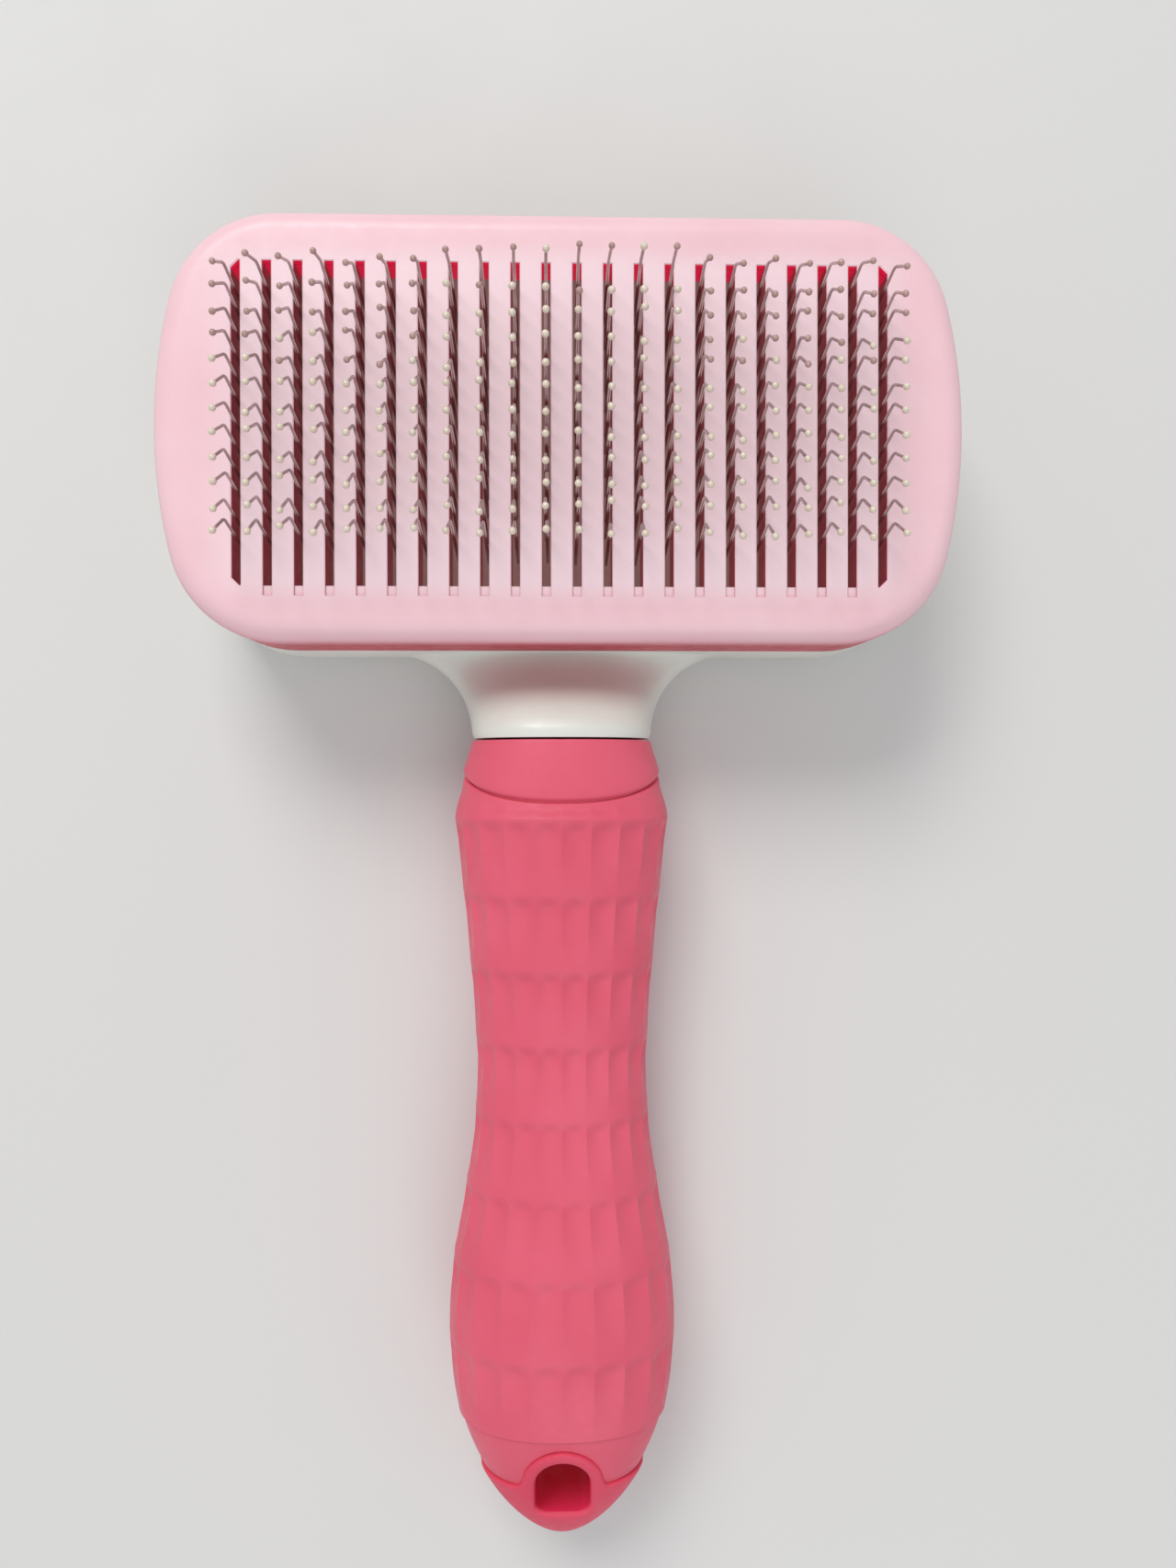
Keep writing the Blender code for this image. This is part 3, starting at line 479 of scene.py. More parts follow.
# Painted light: a brighter, strongly glowing copy of the slot pink for the far end walls of the slots,
# standing in for the light from the front that they catch.
END_PAINTED_LIGHT_PINK = finish("slot_end_painted_light", linear(232, 26, 62), linear(222, 20, 54), (0.34, 0.46), 2400, 0.012,
                  glow=(0.38, 0.006, 0.034))
WHITE = finish("white_plastic", linear(230, 233, 225), linear(221, 223, 214), (0.3, 0.42), 2600, 0.012)
RUBBER = finish("pink_rubber", linear(234, 98, 122), linear(227, 88, 112), (0.5, 0.64), 3200, 0.03,
                sheen=0.08, specular=0.4)
CAP_RUBBER = finish("pink_rubber_cap", linear(233, 82, 109), linear(226, 72, 99), (0.48, 0.6), 3200, 0.02,
                    specular=0.32)
# Painted light: a brighter, more saturated copy of the cap rubber for the hang hole's inner walls, standing
# in for the light bounced round inside the hole.
HOLE_PAINTED_LIGHT_RUBBER = finish("pink_rubber_hole_painted_light", linear(240, 58, 102), linear(232, 50, 94), (0.5, 0.62), 3200, 0.02,
                     specular=0.3)
# Painted light: the bed glows faintly so that it shows grey-brown deep under the slots rather than black.
BED_PAINTED_GLOW = finish("bed_plastic", linear(196, 160, 152), linear(164, 128, 122), (0.6, 0.8), 1500, 0.06,
             patches=420.0, glow=(0.13, 0.08, 0.074))
GREY = finish("grey_plastic", linear(128, 128, 132), linear(112, 112, 116), (0.45, 0.6), 2200, 0.02)
WIRE_STEEL = finish("pin_wire", linear(206, 192, 188), linear(172, 158, 154), (0.3, 0.46), 1800, 0.006,
                    patches=900.0, metallic=1.0, stretch=(1, 1, 0.25))
RESIN = finish("resin_tip", linear(236, 224, 206), linear(222, 206, 184), (0.12, 0.24), 1500, 0.01,
               patches=1200.0, coat=0.6, coat_roughness=0.08)
# Painted shade: a darker, greyer copy of the resin for the drops on the rows that lie in shade near the
# head's far end.
SHADE_PAINTED_RESIN = finish("resin_tip_painted_shade", linear(196, 160, 152), linear(176, 140, 134), (0.2, 0.34), 1500, 0.01,
                   patches=1200.0, coat=0.4, coat_roughness=0.1)
STEEL = finish("steel", linear(178, 178, 180), linear(150, 150, 153), (0.25, 0.42), 2500, 0.006,
               patches=600.0, metallic=1.0)
BLACKED = finish("screw_steel", linear(120, 120, 124), linear(88, 88, 92), (0.3, 0.5), 2500, 0.01,
                 patches=700.0, metallic=1.0)
FLOOR = finish("pale_floor", linear(226, 226, 224), linear(222, 222, 220), (0.6, 0.7), 300, 0.05,
               patches=3.0)


# Head

def head_outline(inset, side_steps=12, corner_steps=14, straight_steps=6):
    """Rounded rectangle with bowed sides about the head's middle, moved in by inset."""
    corner_y = HEAD_LENGTH / 2 - CORNER_RADIUS
    side_x = HEAD_WIDTH / 2 - SIDE_RADIUS
    reach = SIDE_RADIUS - CORNER_RADIUS
    corner_x = side_x + sqrt(reach ** 2 - corner_y ** 2)
    turn = asin(corner_y / reach)
    quarter = arc((side_x, 0), SIDE_RADIUS - inset, 0, turn, side_steps)[:-1]
    quarter += arc((corner_x, corner_y), CORNER_RADIUS - inset, turn, pi / 2, corner_steps)
    end_x, end_y = quarter[-1]
    quarter += [(end_x * (1 - i / straight_steps), end_y) for i in range(1, straight_steps + 1)]
    right = [(x, -y) for x, y in reversed(quarter) if y > 1e-9] + quarter
    left = [(-x, y) for x, y in reversed(right) if x > 1e-9]
    return [(x, y + HEAD_Y) for x, y in right + left]


def head_rings(profile):
    return [at_level(head_outline(inset), z) for inset, z in profile]


def head_corner(inset):
    corner_y = HEAD_LENGTH / 2 - CORNER_RADIUS
    reach = SIDE_RADIUS - CORNER_RADIUS
    corner_x = HEAD_WIDTH / 2 - SIDE_RADIUS + sqrt(reach ** 2 - corner_y ** 2)
    step = (CORNER_RADIUS - inset) * sqrt(0.5)
    return corner_x + step, corner_y + step


def corners(x, y):
    return [(x, HEAD_Y + y), (-x, HEAD_Y + y), (-x, HEAD_Y - y), (x, HEAD_Y - y)]


def column_x(column):
    return (column - (SLOT_COUNT - 1) / 2) * SLOT_PITCH


def slot_outline(column, grow=0.0, ledge=0.0):
    """A slot's outline, anticlockwise from its lower left, in four lists of points.

    They are the lower end, the middle of the right side, the upper end and the middle of the left side.
    """
    x0, x1 = column_x(column) - SLOT_HALF - grow, column_x(column) + SLOT_HALF + grow
    near = HEAD_Y - SLOT_HALF_LENGTH - grow - ledge
    far = HEAD_Y + SLOT_HALF_LENGTH + grow
    left = SLOT_CUT if column == 0 else 0.0
    right = SLOT_CUT if column == SLOT_COUNT - 1 else 0.0
    lower = [(x0, near + left), (x0 + left, near)] if left else [(x0, near)]
    lower += [(x1 - right, near), (x1, near + right)] if right else [(x1, near)]
    upper = [(x1, far - right), (x1 - right, far)] if right else [(x1, far)]
    upper += [(x0 + left, far), (x0, far - left)] if left else [(x0, far)]
    return lower, [(x1, HEAD_Y)], upper, [(x0, HEAD_Y)]


def has_ledge(column):
    return 0 < column < SLOT_COUNT - 1


def comb_faces(bm, outer, slots):
    """Close the flat face between the head's outline and its slots with two comb-shaped faces.

    outer is a loop of vertices that starts at the lower middle; each slot is its four lists of vertices.
    """
    ordered = sorted(range(len(outer)), key=lambda i: (abs(outer[i].co.y - HEAD_Y), -outer[i].co.x))
    right = next(i for i in ordered if outer[i].co.x > 0)
    left = next(i for i in ordered if outer[i].co.x < 0)
    upper = [outer[(right + i) % len(outer)] for i in range((left - right) % len(outer) + 1)]
    lower = [outer[(left + i) % len(outer)] for i in range((right - left) % len(outer) + 1)]
    for lower_end, right_mid, upper_end, left_mid in slots:
        upper += left_mid + upper_end[::-1] + right_mid
    for lower_end, right_mid, upper_end, left_mid in reversed(slots):
        lower += right_mid + lower_end[::-1] + left_mid
    bm.faces.new(upper)
    bm.faces.new(lower)


def slot_verts(bm, column, z, grow=0.0, ledge=0.0):
    return [[bm.verts.new((x, y, z)) for x, y in part] for part in slot_outline(column, grow, ledge)]


def flat(parts):
    return [vert for part in parts for vert in part]


def paint_light_on_slot_ends(bm):
    """Painted light: the far end walls of the slots get the brighter, glowing copy of the slot material,
    standing in for the extra light they catch.
    """
    just_inside = HEAD_Y + SLOT_HALF_LENGTH - SLOT_CUT - 0.01
    for face in bm.faces:
        if face.material_index == SLOT_SIDE and min(vert.co.y for vert in face.verts) > just_inside:
            face.material_index = SLOT_END


def ledge_walls(bm, column, rim, bottom):
    """Walls of a slot from its rim down to the plate's underside, with a ledge across its lower end."""
    step = [[bm.verts.new((v.co.x, v.co.y, LEDGE_LEVEL)) for v in part] for part in rim]
    walls = bridge(bm, flat(rim), flat(step), SLOT_SIDE)
    walls[0].material_index = OUTSIDE
    near = HEAD_Y - SLOT_HALF_LENGTH
    x0, x1 = column_x(column) - SLOT_HALF, column_x(column) + SLOT_HALF
    inner = [bm.verts.new((x0, near, LEDGE_LEVEL)), bm.verts.new((x1, near, LEDGE_LEVEL))]
    bm.faces.new((step[0][0], step[0][1], inner[1], inner[0]))
    split_side(bm, walls, [step[0][1], inner[1], step[1][0]], [step[3][0], inner[0], step[0][0]])
    bridge(bm, inner + step[1] + step[2] + step[3], flat(bottom), SLOT_SIDE)


def make_face_plate():
    """Pale plate with a rounded edge; each slot has a fine rim, and all but the outer two a lit ledge."""
    bm = bmesh.new()
    edge = [(FACE_EDGE - x, FACE - FACE_EDGE + z) for x, z in arc((0, 0), FACE_EDGE, 0, pi / 2, 12)]
    profile = [(SKIRT_INSET, PLATE_BOTTOM), (SKIRT_INSET, SKIRT_BOTTOM + 0.1),
               (SKIRT_INSET - 0.1, SKIRT_BOTTOM), (EDGE_EASE, SKIRT_BOTTOM),
               (EDGE_MIDDLE, SKIRT_BOTTOM + EDGE_MIDDLE), (0, SKIRT_BOTTOM + EDGE_EASE)] + edge
    loops = add_rings(bm, head_rings(profile), caps=False)
    top_slots, bottom_slots = [], []
    for column in range(SLOT_COUNT):
        ledge = LEDGE_LENGTH if has_ledge(column) else 0.0
        top = slot_verts(bm, column, FACE, RIM, ledge)
        rim = slot_verts(bm, column, FACE - RIM, 0, ledge)
        bridge(bm, flat(top), flat(rim))
        bottom = slot_verts(bm, column, PLATE_BOTTOM)
        if ledge:
            ledge_walls(bm, column, rim, bottom)
        else:
            bridge(bm, flat(rim), flat(bottom), SLOT_SIDE)
        top_slots.append(top)
        bottom_slots.append(bottom)
    comb_faces(bm, loops[-1], top_slots)
    comb_faces(bm, loops[0], bottom_slots)
    paint_light_on_slot_ends(bm)
    add_piece("face_plate_skin", bm, [PALE_PINK, SLOT_WALL_PAINTED_PINK, END_PAINTED_LIGHT_PINK], "housing", ["face_plate"],
              angle=28)


def split_side(bm, walls, right_side, left_side):
    """Give the long walls beside a ledge a vertex where the ledge ends, so that nothing hangs loose."""
    right_wall, left_wall = walls[1], walls[-1]
    for wall, side in ((right_wall, right_side), (left_wall, left_side)):
        outline = list(wall.verts)
        start, middle, end = side
        count = len(outline)
        for i in range(count):
            pair = (outline[i], outline[(i + 1) % count])
            if pair in ((start, end), (end, start)):
                outline.insert(i + 1, middle)
                break
        material = wall.material_index
        bm.faces.remove(wall)
        bm.faces.new(outline).material_index = material


def make_middle_frame():
    """Deep pink ring below the plate, with a slotted deck and a tongue inside the shell."""
    bm = bmesh.new()
    outer, inner = TONGUE_INSETS
    tongue_end = RING_BOTTOM - TONGUE_DROP
    ease = EDGE_EASE - RING_INSET
    profile = [(inner, DECK_BOTTOM), (inner, tongue_end), (outer, tongue_end), (outer, RING_BOTTOM),
               (EDGE_EASE, RING_BOTTOM), (RING_INSET, RING_BOTTOM + ease), (RING_INSET, RING_TOP - ease),
               (EDGE_EASE, RING_TOP), (DECK_INSET, RING_TOP), (DECK_INSET, DECK_TOP)]
    loops = add_rings(bm, head_rings(profile), caps=False)
    top_slots, bottom_slots = [], []
    for column in range(SLOT_COUNT):
        top = slot_verts(bm, column, DECK_TOP)
        bottom = slot_verts(bm, column, DECK_BOTTOM)
        bridge(bm, flat(top), flat(bottom), SLOT_SIDE)
        top_slots.append(top)
        bottom_slots.append(bottom)
    comb_faces(bm, loops[-1], top_slots)
    comb_faces(bm, loops[0], bottom_slots)
    paint_light_on_slot_ends(bm)
    add_piece("middle_frame_skin", bm, [DEEP_PINK, SLOT_WALL_PAINTED_PINK, END_PAINTED_LIGHT_PINK], "housing", ["middle_frame"],
              angle=28)


def sagged(y, sag, height):
    """Where a ring that sags away from the head lies; height is 1 at the top and the bottom of it."""
    return y - sag * abs(height) ** SAG_POWER


def section(half_width, half_height, y, level=HANDLE_LEVEL, steps=72, sag=0.0):
    """A ring across the handle: an ellipse with fuller corners."""
    ring = []
    for i in range(steps):
        angle = 2 * pi * i / steps
        x, z = cos(angle), sin(angle)
        x, z = copysign(abs(x) ** (2 / POWER), x), copysign(abs(z) ** (2 / POWER), z)
        ring.append((half_width * x, sagged(y, sag, z), level + half_height * z))
    return ring


def shell_edge_level(inset):
    return SHELL_EDGE - sqrt(SHELL_EDGE ** 2 - (SHELL_EDGE - inset) ** 2)


def screw_seat():
    return shell_edge_level(BOSS_INSET - SCREW_HEAD - SCREW_SPACE)


def neck_rings():
    """The neck flares out to the shell's wall and dips from the handle's height to the shell's."""
    rings = []
    root_half = (NECK_ROOT[1] - NECK_ROOT[0]) / 2
    steps = 22
    for i in range(steps + 1):
        share = sin(pi / 2 * i / steps)
        along = share * NECK_LENGTH
        flare = NECK_FILLET - sqrt(NECK_FILLET ** 2 - along ** 2)
        blend = (1 - cos(pi * share)) / 2
        half_height = NECK_HALF * FLATNESS * (1 - blend) + root_half * blend
        level = HANDLE_LEVEL * (1 - blend) + (NECK_ROOT[0] + root_half) * blend
        ease = max(0.0, EDGE_EASE - along)
        rings.append(section(NECK_HALF + flare - ease, half_height - ease, NECK_START + along, level))
    in_wall = HEAD_Y - HEAD_LENGTH / 2 + 0.9 * SHELL_WALL
    rings.append(section(NECK_HALF + flare, root_half, in_wall, level))
    return rings


def make_back_shell():
    """White tray with the neck and four screw bosses, and holes for the button, screws, posts and core."""
    inner = SHELL_EDGE - SHELL_WALL
    outside = [(SHELL_EDGE - x, SHELL_EDGE + z) for x, z in arc((0, 0), SHELL_EDGE, -pi / 2, 0, 14)]
    inside = [(SHELL_EDGE - x, SHELL_FLOOR + inner + z) for x, z in arc((0, 0), inner, 0, -pi / 2, 6)]
    edge = [(0, SHELL_TOP - EDGE_EASE), (EDGE_MIDDLE, SHELL_TOP - EDGE_MIDDLE), (EDGE_EASE, SHELL_TOP),
            (SHELL_WALL, SHELL_TOP)]
    shell = solid(head_rings(outside + edge + inside))
    places = corners(*head_corner(BOSS_INSET))
    boss_foot = shell_edge_level(BOSS_INSET - BOSS_RADIUS)
    bosses = [pillar(place, BOSS_RADIUS, boss_foot, SHELL_TOP, 32) for place in places]
    carve(shell, bosses + [solid(neck_rings())], "UNION")

    hole = BUTTON_RADIUS + BUTTON_GAP
    cutters = [solid(turned([(hole + BUTTON_RIM + PAST, -PAST), (hole, BUTTON_RIM),
                             (hole, SHELL_FLOOR + PAST)], 96, (0, HEAD_Y)))]
    for place in places:
        cutters.append(pillar(place, SCREW_BORE, -PAST, screw_seat() + 1.5, 32))
        cutters.append(pillar(place, SCREW_HOLE, screw_seat() + 1.0, SHELL_TOP + PAST))
    for place in corners(*POSTS):
        cutters.append(pillar(place, POST_HOLE, SHELL_FLOOR / 2, SHELL_FLOOR + 0.8))
    cutters.append(pillar(NECK_SCREW, SCREW_BORE, -PAST, 5.4, 32))
    cutters.append(solid([section(*BORE, y) for y in (COLLAR_FRONT - PAST, COLLAR_FRONT + 5.1)]))
    carve(shell, cutters)
    shell.name = shell.data.name = "back_shell_skin"
    dress(shell, [WHITE], 32)
    mount(shell, "housing", ["back_shell"])


# Pins

def sweep(bm, points, radii, steps, material):
    """A closed round tube along points that lie nearly in a plane of constant X."""
    rings = []
    for i, point in enumerate(points):
        before = Vector(points[max(i - 1, 0)])
        after = Vector(points[min(i + 1, len(points) - 1)])
        along = (after - before).normalized()
        side = Vector((1, 0, 0)) - along * along.x
        side.normalize()
        other = along.cross(side)
        rings.append([Vector(point) + radii[i] * (side * cos(a) + other * sin(a))
                      for a in (2 * pi * k / steps for k in range(steps))])
    before = len(bm.faces)
    add_rings(bm, rings)
    bm.faces.ensure_lookup_table()
    for face in bm.faces[before:]:
        face.material_index = material


def leg_path(x, y, sway, lift):
    """Points of one leg from the bed to its tip: up with a lean, a soft knee, and back the other way.

    sway moves the tip sideways and along the slot from where a straight bend would leave it.
    """
    def lower(z):
        return Vector((x, y + (z - FACE) * tan(LOWER_LEAN), z))

    knee = lower(KNEE)
    tip = knee + Vector((sway[0], (TIP - KNEE) * tan(UPPER_LEAN) + sway[1], TIP - KNEE - lift))
    up = (knee - lower(FACE)).normalized()
    on = (tip - knee).normalized()
    start, end = knee - up * KNEE_BEND, knee + on * KNEE_BEND
    points = [lower(BED_TOP + 0.6), lower(FACE), start]
    for i in range(1, 5):
        share = i / 5
        points.append(start * (1 - share) ** 2 + knee * 2 * share * (1 - share) + end * share ** 2)
    points.append(end)
    return points, tip, on


def bend_leg(column, number):
    """One leg of a staple, varied a little: its path, tip, end direction, drop's size, and if its drop is
    painted in shade.

    The tip stays between the walls of its slot, so that it can be drawn into it.
    """
    off_middle = abs(column - (SLOT_COUNT - 1) / 2)
    shift = PAIR_SHIFT if column < SLOT_COUNT / 2 else -PAIR_SHIFT
    y = PIN_FIRST + PIN_STEP * number + (-shift if number % 2 else shift)
    y += random.uniform(-FOOT_JITTER, FOOT_JITTER)
    # Painted shade: clear is true for a leg whose drop gets the darker resin and the smaller size.
    shaded_from = PIN_COUNT - SHADED_ROWS[0 if off_middle < SHADED_COLUMNS else 1]
    clear = number + random.uniform(-SHADED_JITTER, SHADED_JITTER) > shaded_from
    size = random.uniform(*(SHADED_SIZE if clear else PLAIN_SIZE))
    aside = random.uniform(-FOOT_ASIDE, FOOT_ASIDE)
    free = SLOT_HALF - DROP_RADIUS * size - DROP_GAP
    along = random.gauss(0, TIP_JITTER)
    if number == PIN_COUNT - 1:
        along = FAR_TIP_LEAN if off_middle < FAR_TIP_COLUMNS else random.uniform(*FAR_TIP_SPREAD)
    sway = (random.uniform(-free, free) - aside, along)
    points, tip, on = leg_path(column_x(column) + aside, y, sway, random.uniform(0, TIP_DROP))
    return points, tip, on, size, clear


def staple_back(first, second):
    """The wire inside the bed, from the foot of a staple's first leg to that of its second."""
    y0, y1 = first.y - 0.25, second.y - 0.25
    level = BED_TOP - 1.8
    return [Vector((first.x, y0 - 0.2, level + 0.8)), Vector((first.x, y0 - 0.1, level + 0.3)),
            Vector((first.x, y0 + 0.3, level)), Vector((second.x, y1 - 0.5, level)),
            Vector((second.x, y1 - 0.05, level + 0.3)), Vector((second.x, y1, level + 0.8))]


def add_drop(bm, tip, on, size, clear):
    radii = [max(radius * size, WIRE + 0.01) if at < 0 else radius * size for at, radius in DROP]
    points = [tip + on * (at * size) for at, radius in DROP]
    # Painted shade: a clear drop takes the darker resin.
    sweep(bm, points, radii, 12, SHADED_DROP if clear else PLAIN_DROP)


def make_pin_row(column):
    """Six staples of two legs each, every leg with a drop of resin on its tip."""
    bm = bmesh.new()
    for number in range(0, PIN_COUNT, 2):
        legs = [bend_leg(column, number), bend_leg(column, number + 1)]
        first, second = legs[0][0], legs[1][0]
        ends = [tip - on * 0.2 for points, tip, on, size, clear in legs]
        path = [ends[0], *reversed(first), *staple_back(first[0], second[0]), *second, ends[1]]
        sweep(bm, path, [WIRE] * len(path), 8, 0)
        for points, tip, on, size, clear in legs:
            add_drop(bm, tip, on, size, clear)
    add_piece(f"pin_row_{column + 1:02d}_wires", bm, [WIRE_STEEL, RESIN, SHADE_PAINTED_RESIN], "pin_carrier",
              [f"pin_row_{column + 1:02d}"], angle=60)


def make_bed():
    edge = 0.4
    bed = solid(head_rings([(BED_INSET + edge, BED_BOTTOM), (BED_INSET, BED_BOTTOM + edge),
                            (BED_INSET, BED_TOP - edge), (BED_INSET + edge, BED_TOP)]))
    low, high = BED_BOTTOM - PAST, BED_TOP + PAST
    cutters = [pillar(place, POST_HOLE, low, high) for place in corners(*POSTS)]
    cutters += [pillar(place, BOSS_RADIUS + 0.4, low, high, 32)
                for place in corners(*head_corner(BOSS_INSET))]
    carve(bed, cutters)
    bed.name = bed.data.name = "pin_bed_pad"
    dress(bed, [BED_PAINTED_GLOW])
    mount(bed, "pin_carrier", ["pin_bed"])


def make_button():
    """Push button with a dished face, two raised rings round the dish and a flange inside."""
    under_flange = BUTTON_TOP - FLANGE_THICKNESS
    profile = [*BUTTON_FACE, (BUTTON_RADIUS, under_flange), (FLANGE_RADIUS, under_flange),
               (FLANGE_RADIUS, BUTTON_TOP), (BUTTON_HOLLOW, BUTTON_TOP), (BUTTON_HOLLOW, BUTTON_CEILING),
               (STEM_RADIUS, BUTTON_CEILING), (STEM_RADIUS, BUTTON_TOP), (STEM_BORE, BUTTON_TOP),
               (STEM_BORE, STEM_BORE_END)]
    button = solid(turned(profile, 96, (0, HEAD_Y)))
    outside = FLANGE_RADIUS + PAST
    groove = []
    for z in (1.9, BUTTON_TOP + PAST):
        y = HEAD_Y - 1.5 + GROOVE_SLANT * (z - 3.2)
        groove.append(at_level(rectangle(9.7, outside, y - GROOVE_HALF, y + GROOVE_HALF), z))
    notch = rectangle(BUTTON_RADIUS + 0.05, outside, HEAD_Y - NOTCH_HALF, HEAD_Y + NOTCH_HALF)
    notch = [at_level(notch, z) for z in (under_flange - PAST, BUTTON_TOP + PAST)]
    carve(button, [solid(groove), solid(notch)])
    button.name = button.data.name = "push_button_cap"
    dress(button, [DEEP_PINK], 40)
    mount(button, "pin_carrier", ["push_button"])


def make_screw(node, place, level, length):
    """Pan-head screw seen from below, with a cross recess in its head and a thread on its shank."""
    under = level + SCREW_HEAD_HEIGHT
    profile = [(0.35, level), (1.2, level + 0.03), (1.5, level + 0.12), (1.72, level + 0.35),
               (SCREW_HEAD, level + 0.75), (SCREW_HEAD, under - 0.05), (1.72, under), (SCREW_SHANK, under)]
    z = level + 1.5
    while z < level + length - THREAD_PITCH:
        profile += [(SCREW_SHANK, z), (SCREW_ROOT, z + THREAD_PITCH / 4),
                    (SCREW_ROOT, z + THREAD_PITCH / 2), (SCREW_SHANK, z + THREAD_PITCH * 3 / 4)]
        z += THREAD_PITCH
    profile.append((0.5, level + length))
    screw = solid(turned(profile, 32, place))
    long, wide = CROSS_HALF
    cutters = []
    for turn in (CROSS_TURN, CROSS_TURN + pi / 2):
        mouth = [(place[0] + cos(turn) * a - sin(turn) * b, place[1] + sin(turn) * a + cos(turn) * b)
                 for a, b in rectangle(-long, long, -wide, wide)]
        foot = [(place[0] + (x - place[0]) * 0.45, place[1] + (y - place[1]) * 0.6) for x, y in mouth]
        cutters.append(solid([at_level(mouth, level - 0.2), at_level(mouth, level + 0.15),
                              at_level(foot, level + 0.7)]))
    carve(screw, cutters)
    screw.name = screw.data.name = f"{node}_head"
    dress(screw, [BLACKED], 35)
    mount(screw, "housing", [node])


def make_screws():
    seat = screw_seat()
    length = RING_BOTTOM + 0.6 * (DECK_BOTTOM - RING_BOTTOM) - seat
    for number, place in enumerate(corners(*head_corner(BOSS_INSET)), 1):
        make_screw(f"housing_screw_{number}", place, seat, length)
    make_screw("neck_screw", NECK_SCREW, HANDLE_LEVEL - NECK_HALF * FLATNESS + SCREW_HEAD_HEIGHT, 6.0)


# Handle

def half_width(y):
    """Half the handle's width along its length: shoulder, waist, bulge and blunt-pointed end."""
    if y <= BULGE[0]:
        share = min(1.0, (BULGE[0] - y) / (BULGE[0] - END))
        return BULGE[1] * (1 - share ** NOSE_POWER) ** NOSE_FALL
    if y <= WAIST[0]:
        share = ((WAIST[0] - y) / (WAIST[0] - BULGE[0])) ** BULGE_POWER
        return WAIST[1] + (BULGE[1] - WAIST[1]) * (1 - cos(pi * share)) / 2
    if y <= SHOULDER[0]:
        share = ((y - WAIST[0]) / (SHOULDER[0] - WAIST[0])) ** WAIST_POWER
        return WAIST[1] + (SHOULDER[1] - WAIST[1]) * share
    share = min(1.0, (y - SHOULDER[0]) / (SEAM - SHOULDER[0]))
    return SHOULDER[1] + (COLLAR_BACK_HALF - SHOULDER[1]) * (1 - cos(pi * share)) / 2


def unit_section(count):
    """Points of the handle's section for a half width of 1, evenly spaced round it, from the top."""
    fine = 4000
    dense = []
    for i in range(fine + 1):
        angle = pi / 2 + 2 * pi * i / fine
        x, z = cos(angle), sin(angle)
        dense.append((copysign(abs(x) ** (2 / POWER), x), FLATNESS * copysign(abs(z) ** (2 / POWER), z)))
    lengths = [0.0]
    for (x0, z0), (x1, z1) in zip(dense, dense[1:]):
        lengths.append(lengths[-1] + hypot(x1 - x0, z1 - z0))
    points, i = [], 0
    for k in range(count):
        wanted = lengths[-1] * k / count
        while lengths[i + 1] < wanted:
            i += 1
        share = (wanted - lengths[i]) / max(lengths[i + 1] - lengths[i], 1e-12)
        (x0, z0), (x1, z1) = dense[i], dense[i + 1]
        points.append((x0 + (x1 - x0) * share, z0 + (z1 - z0) * share))
    return points


def outward(points):
    """Unit normals of a closed loop of (x, z) points that runs anticlockwise."""
    made = []
    for i in range(len(points)):
        (x0, z0), (x1, z1) = points[i - 1], points[(i + 1) % len(points)]
        length = hypot(x1 - x0, z1 - z0)
        made.append(((z1 - z0) / length, -(x1 - x0) / length))
    return made


AROUND = FLUTES * FLUTE_STEPS
UNIT = unit_section(AROUND)
UNIT_OUT = outward(UNIT)


def lip(x):
    """Where the end cap begins along the handle: straight at the sides, and an arch round the hole."""
    x = abs(x)
    if x < ARCH_RING:
        arch = ARCH_Y + sqrt(ARCH_RING ** 2 - x ** 2)
    else:
        arch = ARCH_Y - 3 * (x - ARCH_RING)
    gap = arch - LIP_Y
    return LIP_Y + (gap + sqrt(gap ** 2 + LIP_FILLET ** 2)) / 2


def pattern(y, k):
    """How far the grip's surface lies under its smooth outline at a place along it and round it."""
    wave = abs((k % FLUTE_STEPS) / FLUTE_STEPS * 2 - 1)
    if y >= BAND_EDGES[0]:
        share = min(1.0, max(0.0, (SEAM - 0.8 - y) / (SEAM - 0.8 - BAND_EDGES[0])))
        return SHOULDER_FLUTE * (1 - wave ** 2) * share * (1 - share) * 4
    if y < BAND_EDGES[-1]:
        return END_SUNK
    band = next(i for i in range(len(BAND_EDGES) - 1) if y >= BAND_EDGES[i + 1])
    share = (BAND_EDGES[band] - y) / (BAND_EDGES[band] - BAND_EDGES[band + 1])
    groove = FLUTE_DEPTH * (1 - wave ** 2) * (1 - share)
    onset = min(1.0, share / FLUTE_ONSET)
    step = BAND_STEP * min(share / BAND_ONSET, (1 - share) / (1 - BAND_ONSET))
    return step + groove * onset * onset * (3 - 2 * onset)


def grip_ring(y, sag=0.0, sunk=None):
    """A ring round the grip, with its pattern, or sunk by one depth all round."""
    half = half_width(y)
    ring = []
    for k, ((x, z), (nx, nz)) in enumerate(zip(UNIT, UNIT_OUT)):
        low = pattern(y, k) if sunk is None else sunk
        ring.append((half * x - nx * low, sagged(y, sag, z / FLATNESS), HANDLE_LEVEL + half * z - nz * low))
    return ring


def bore_ring(y, size, sag=0.0):
    return [(size[0] * x, sagged(y, sag, z / FLATNESS), HANDLE_LEVEL + size[1] * z / FLATNESS)
            for x, z in UNIT]


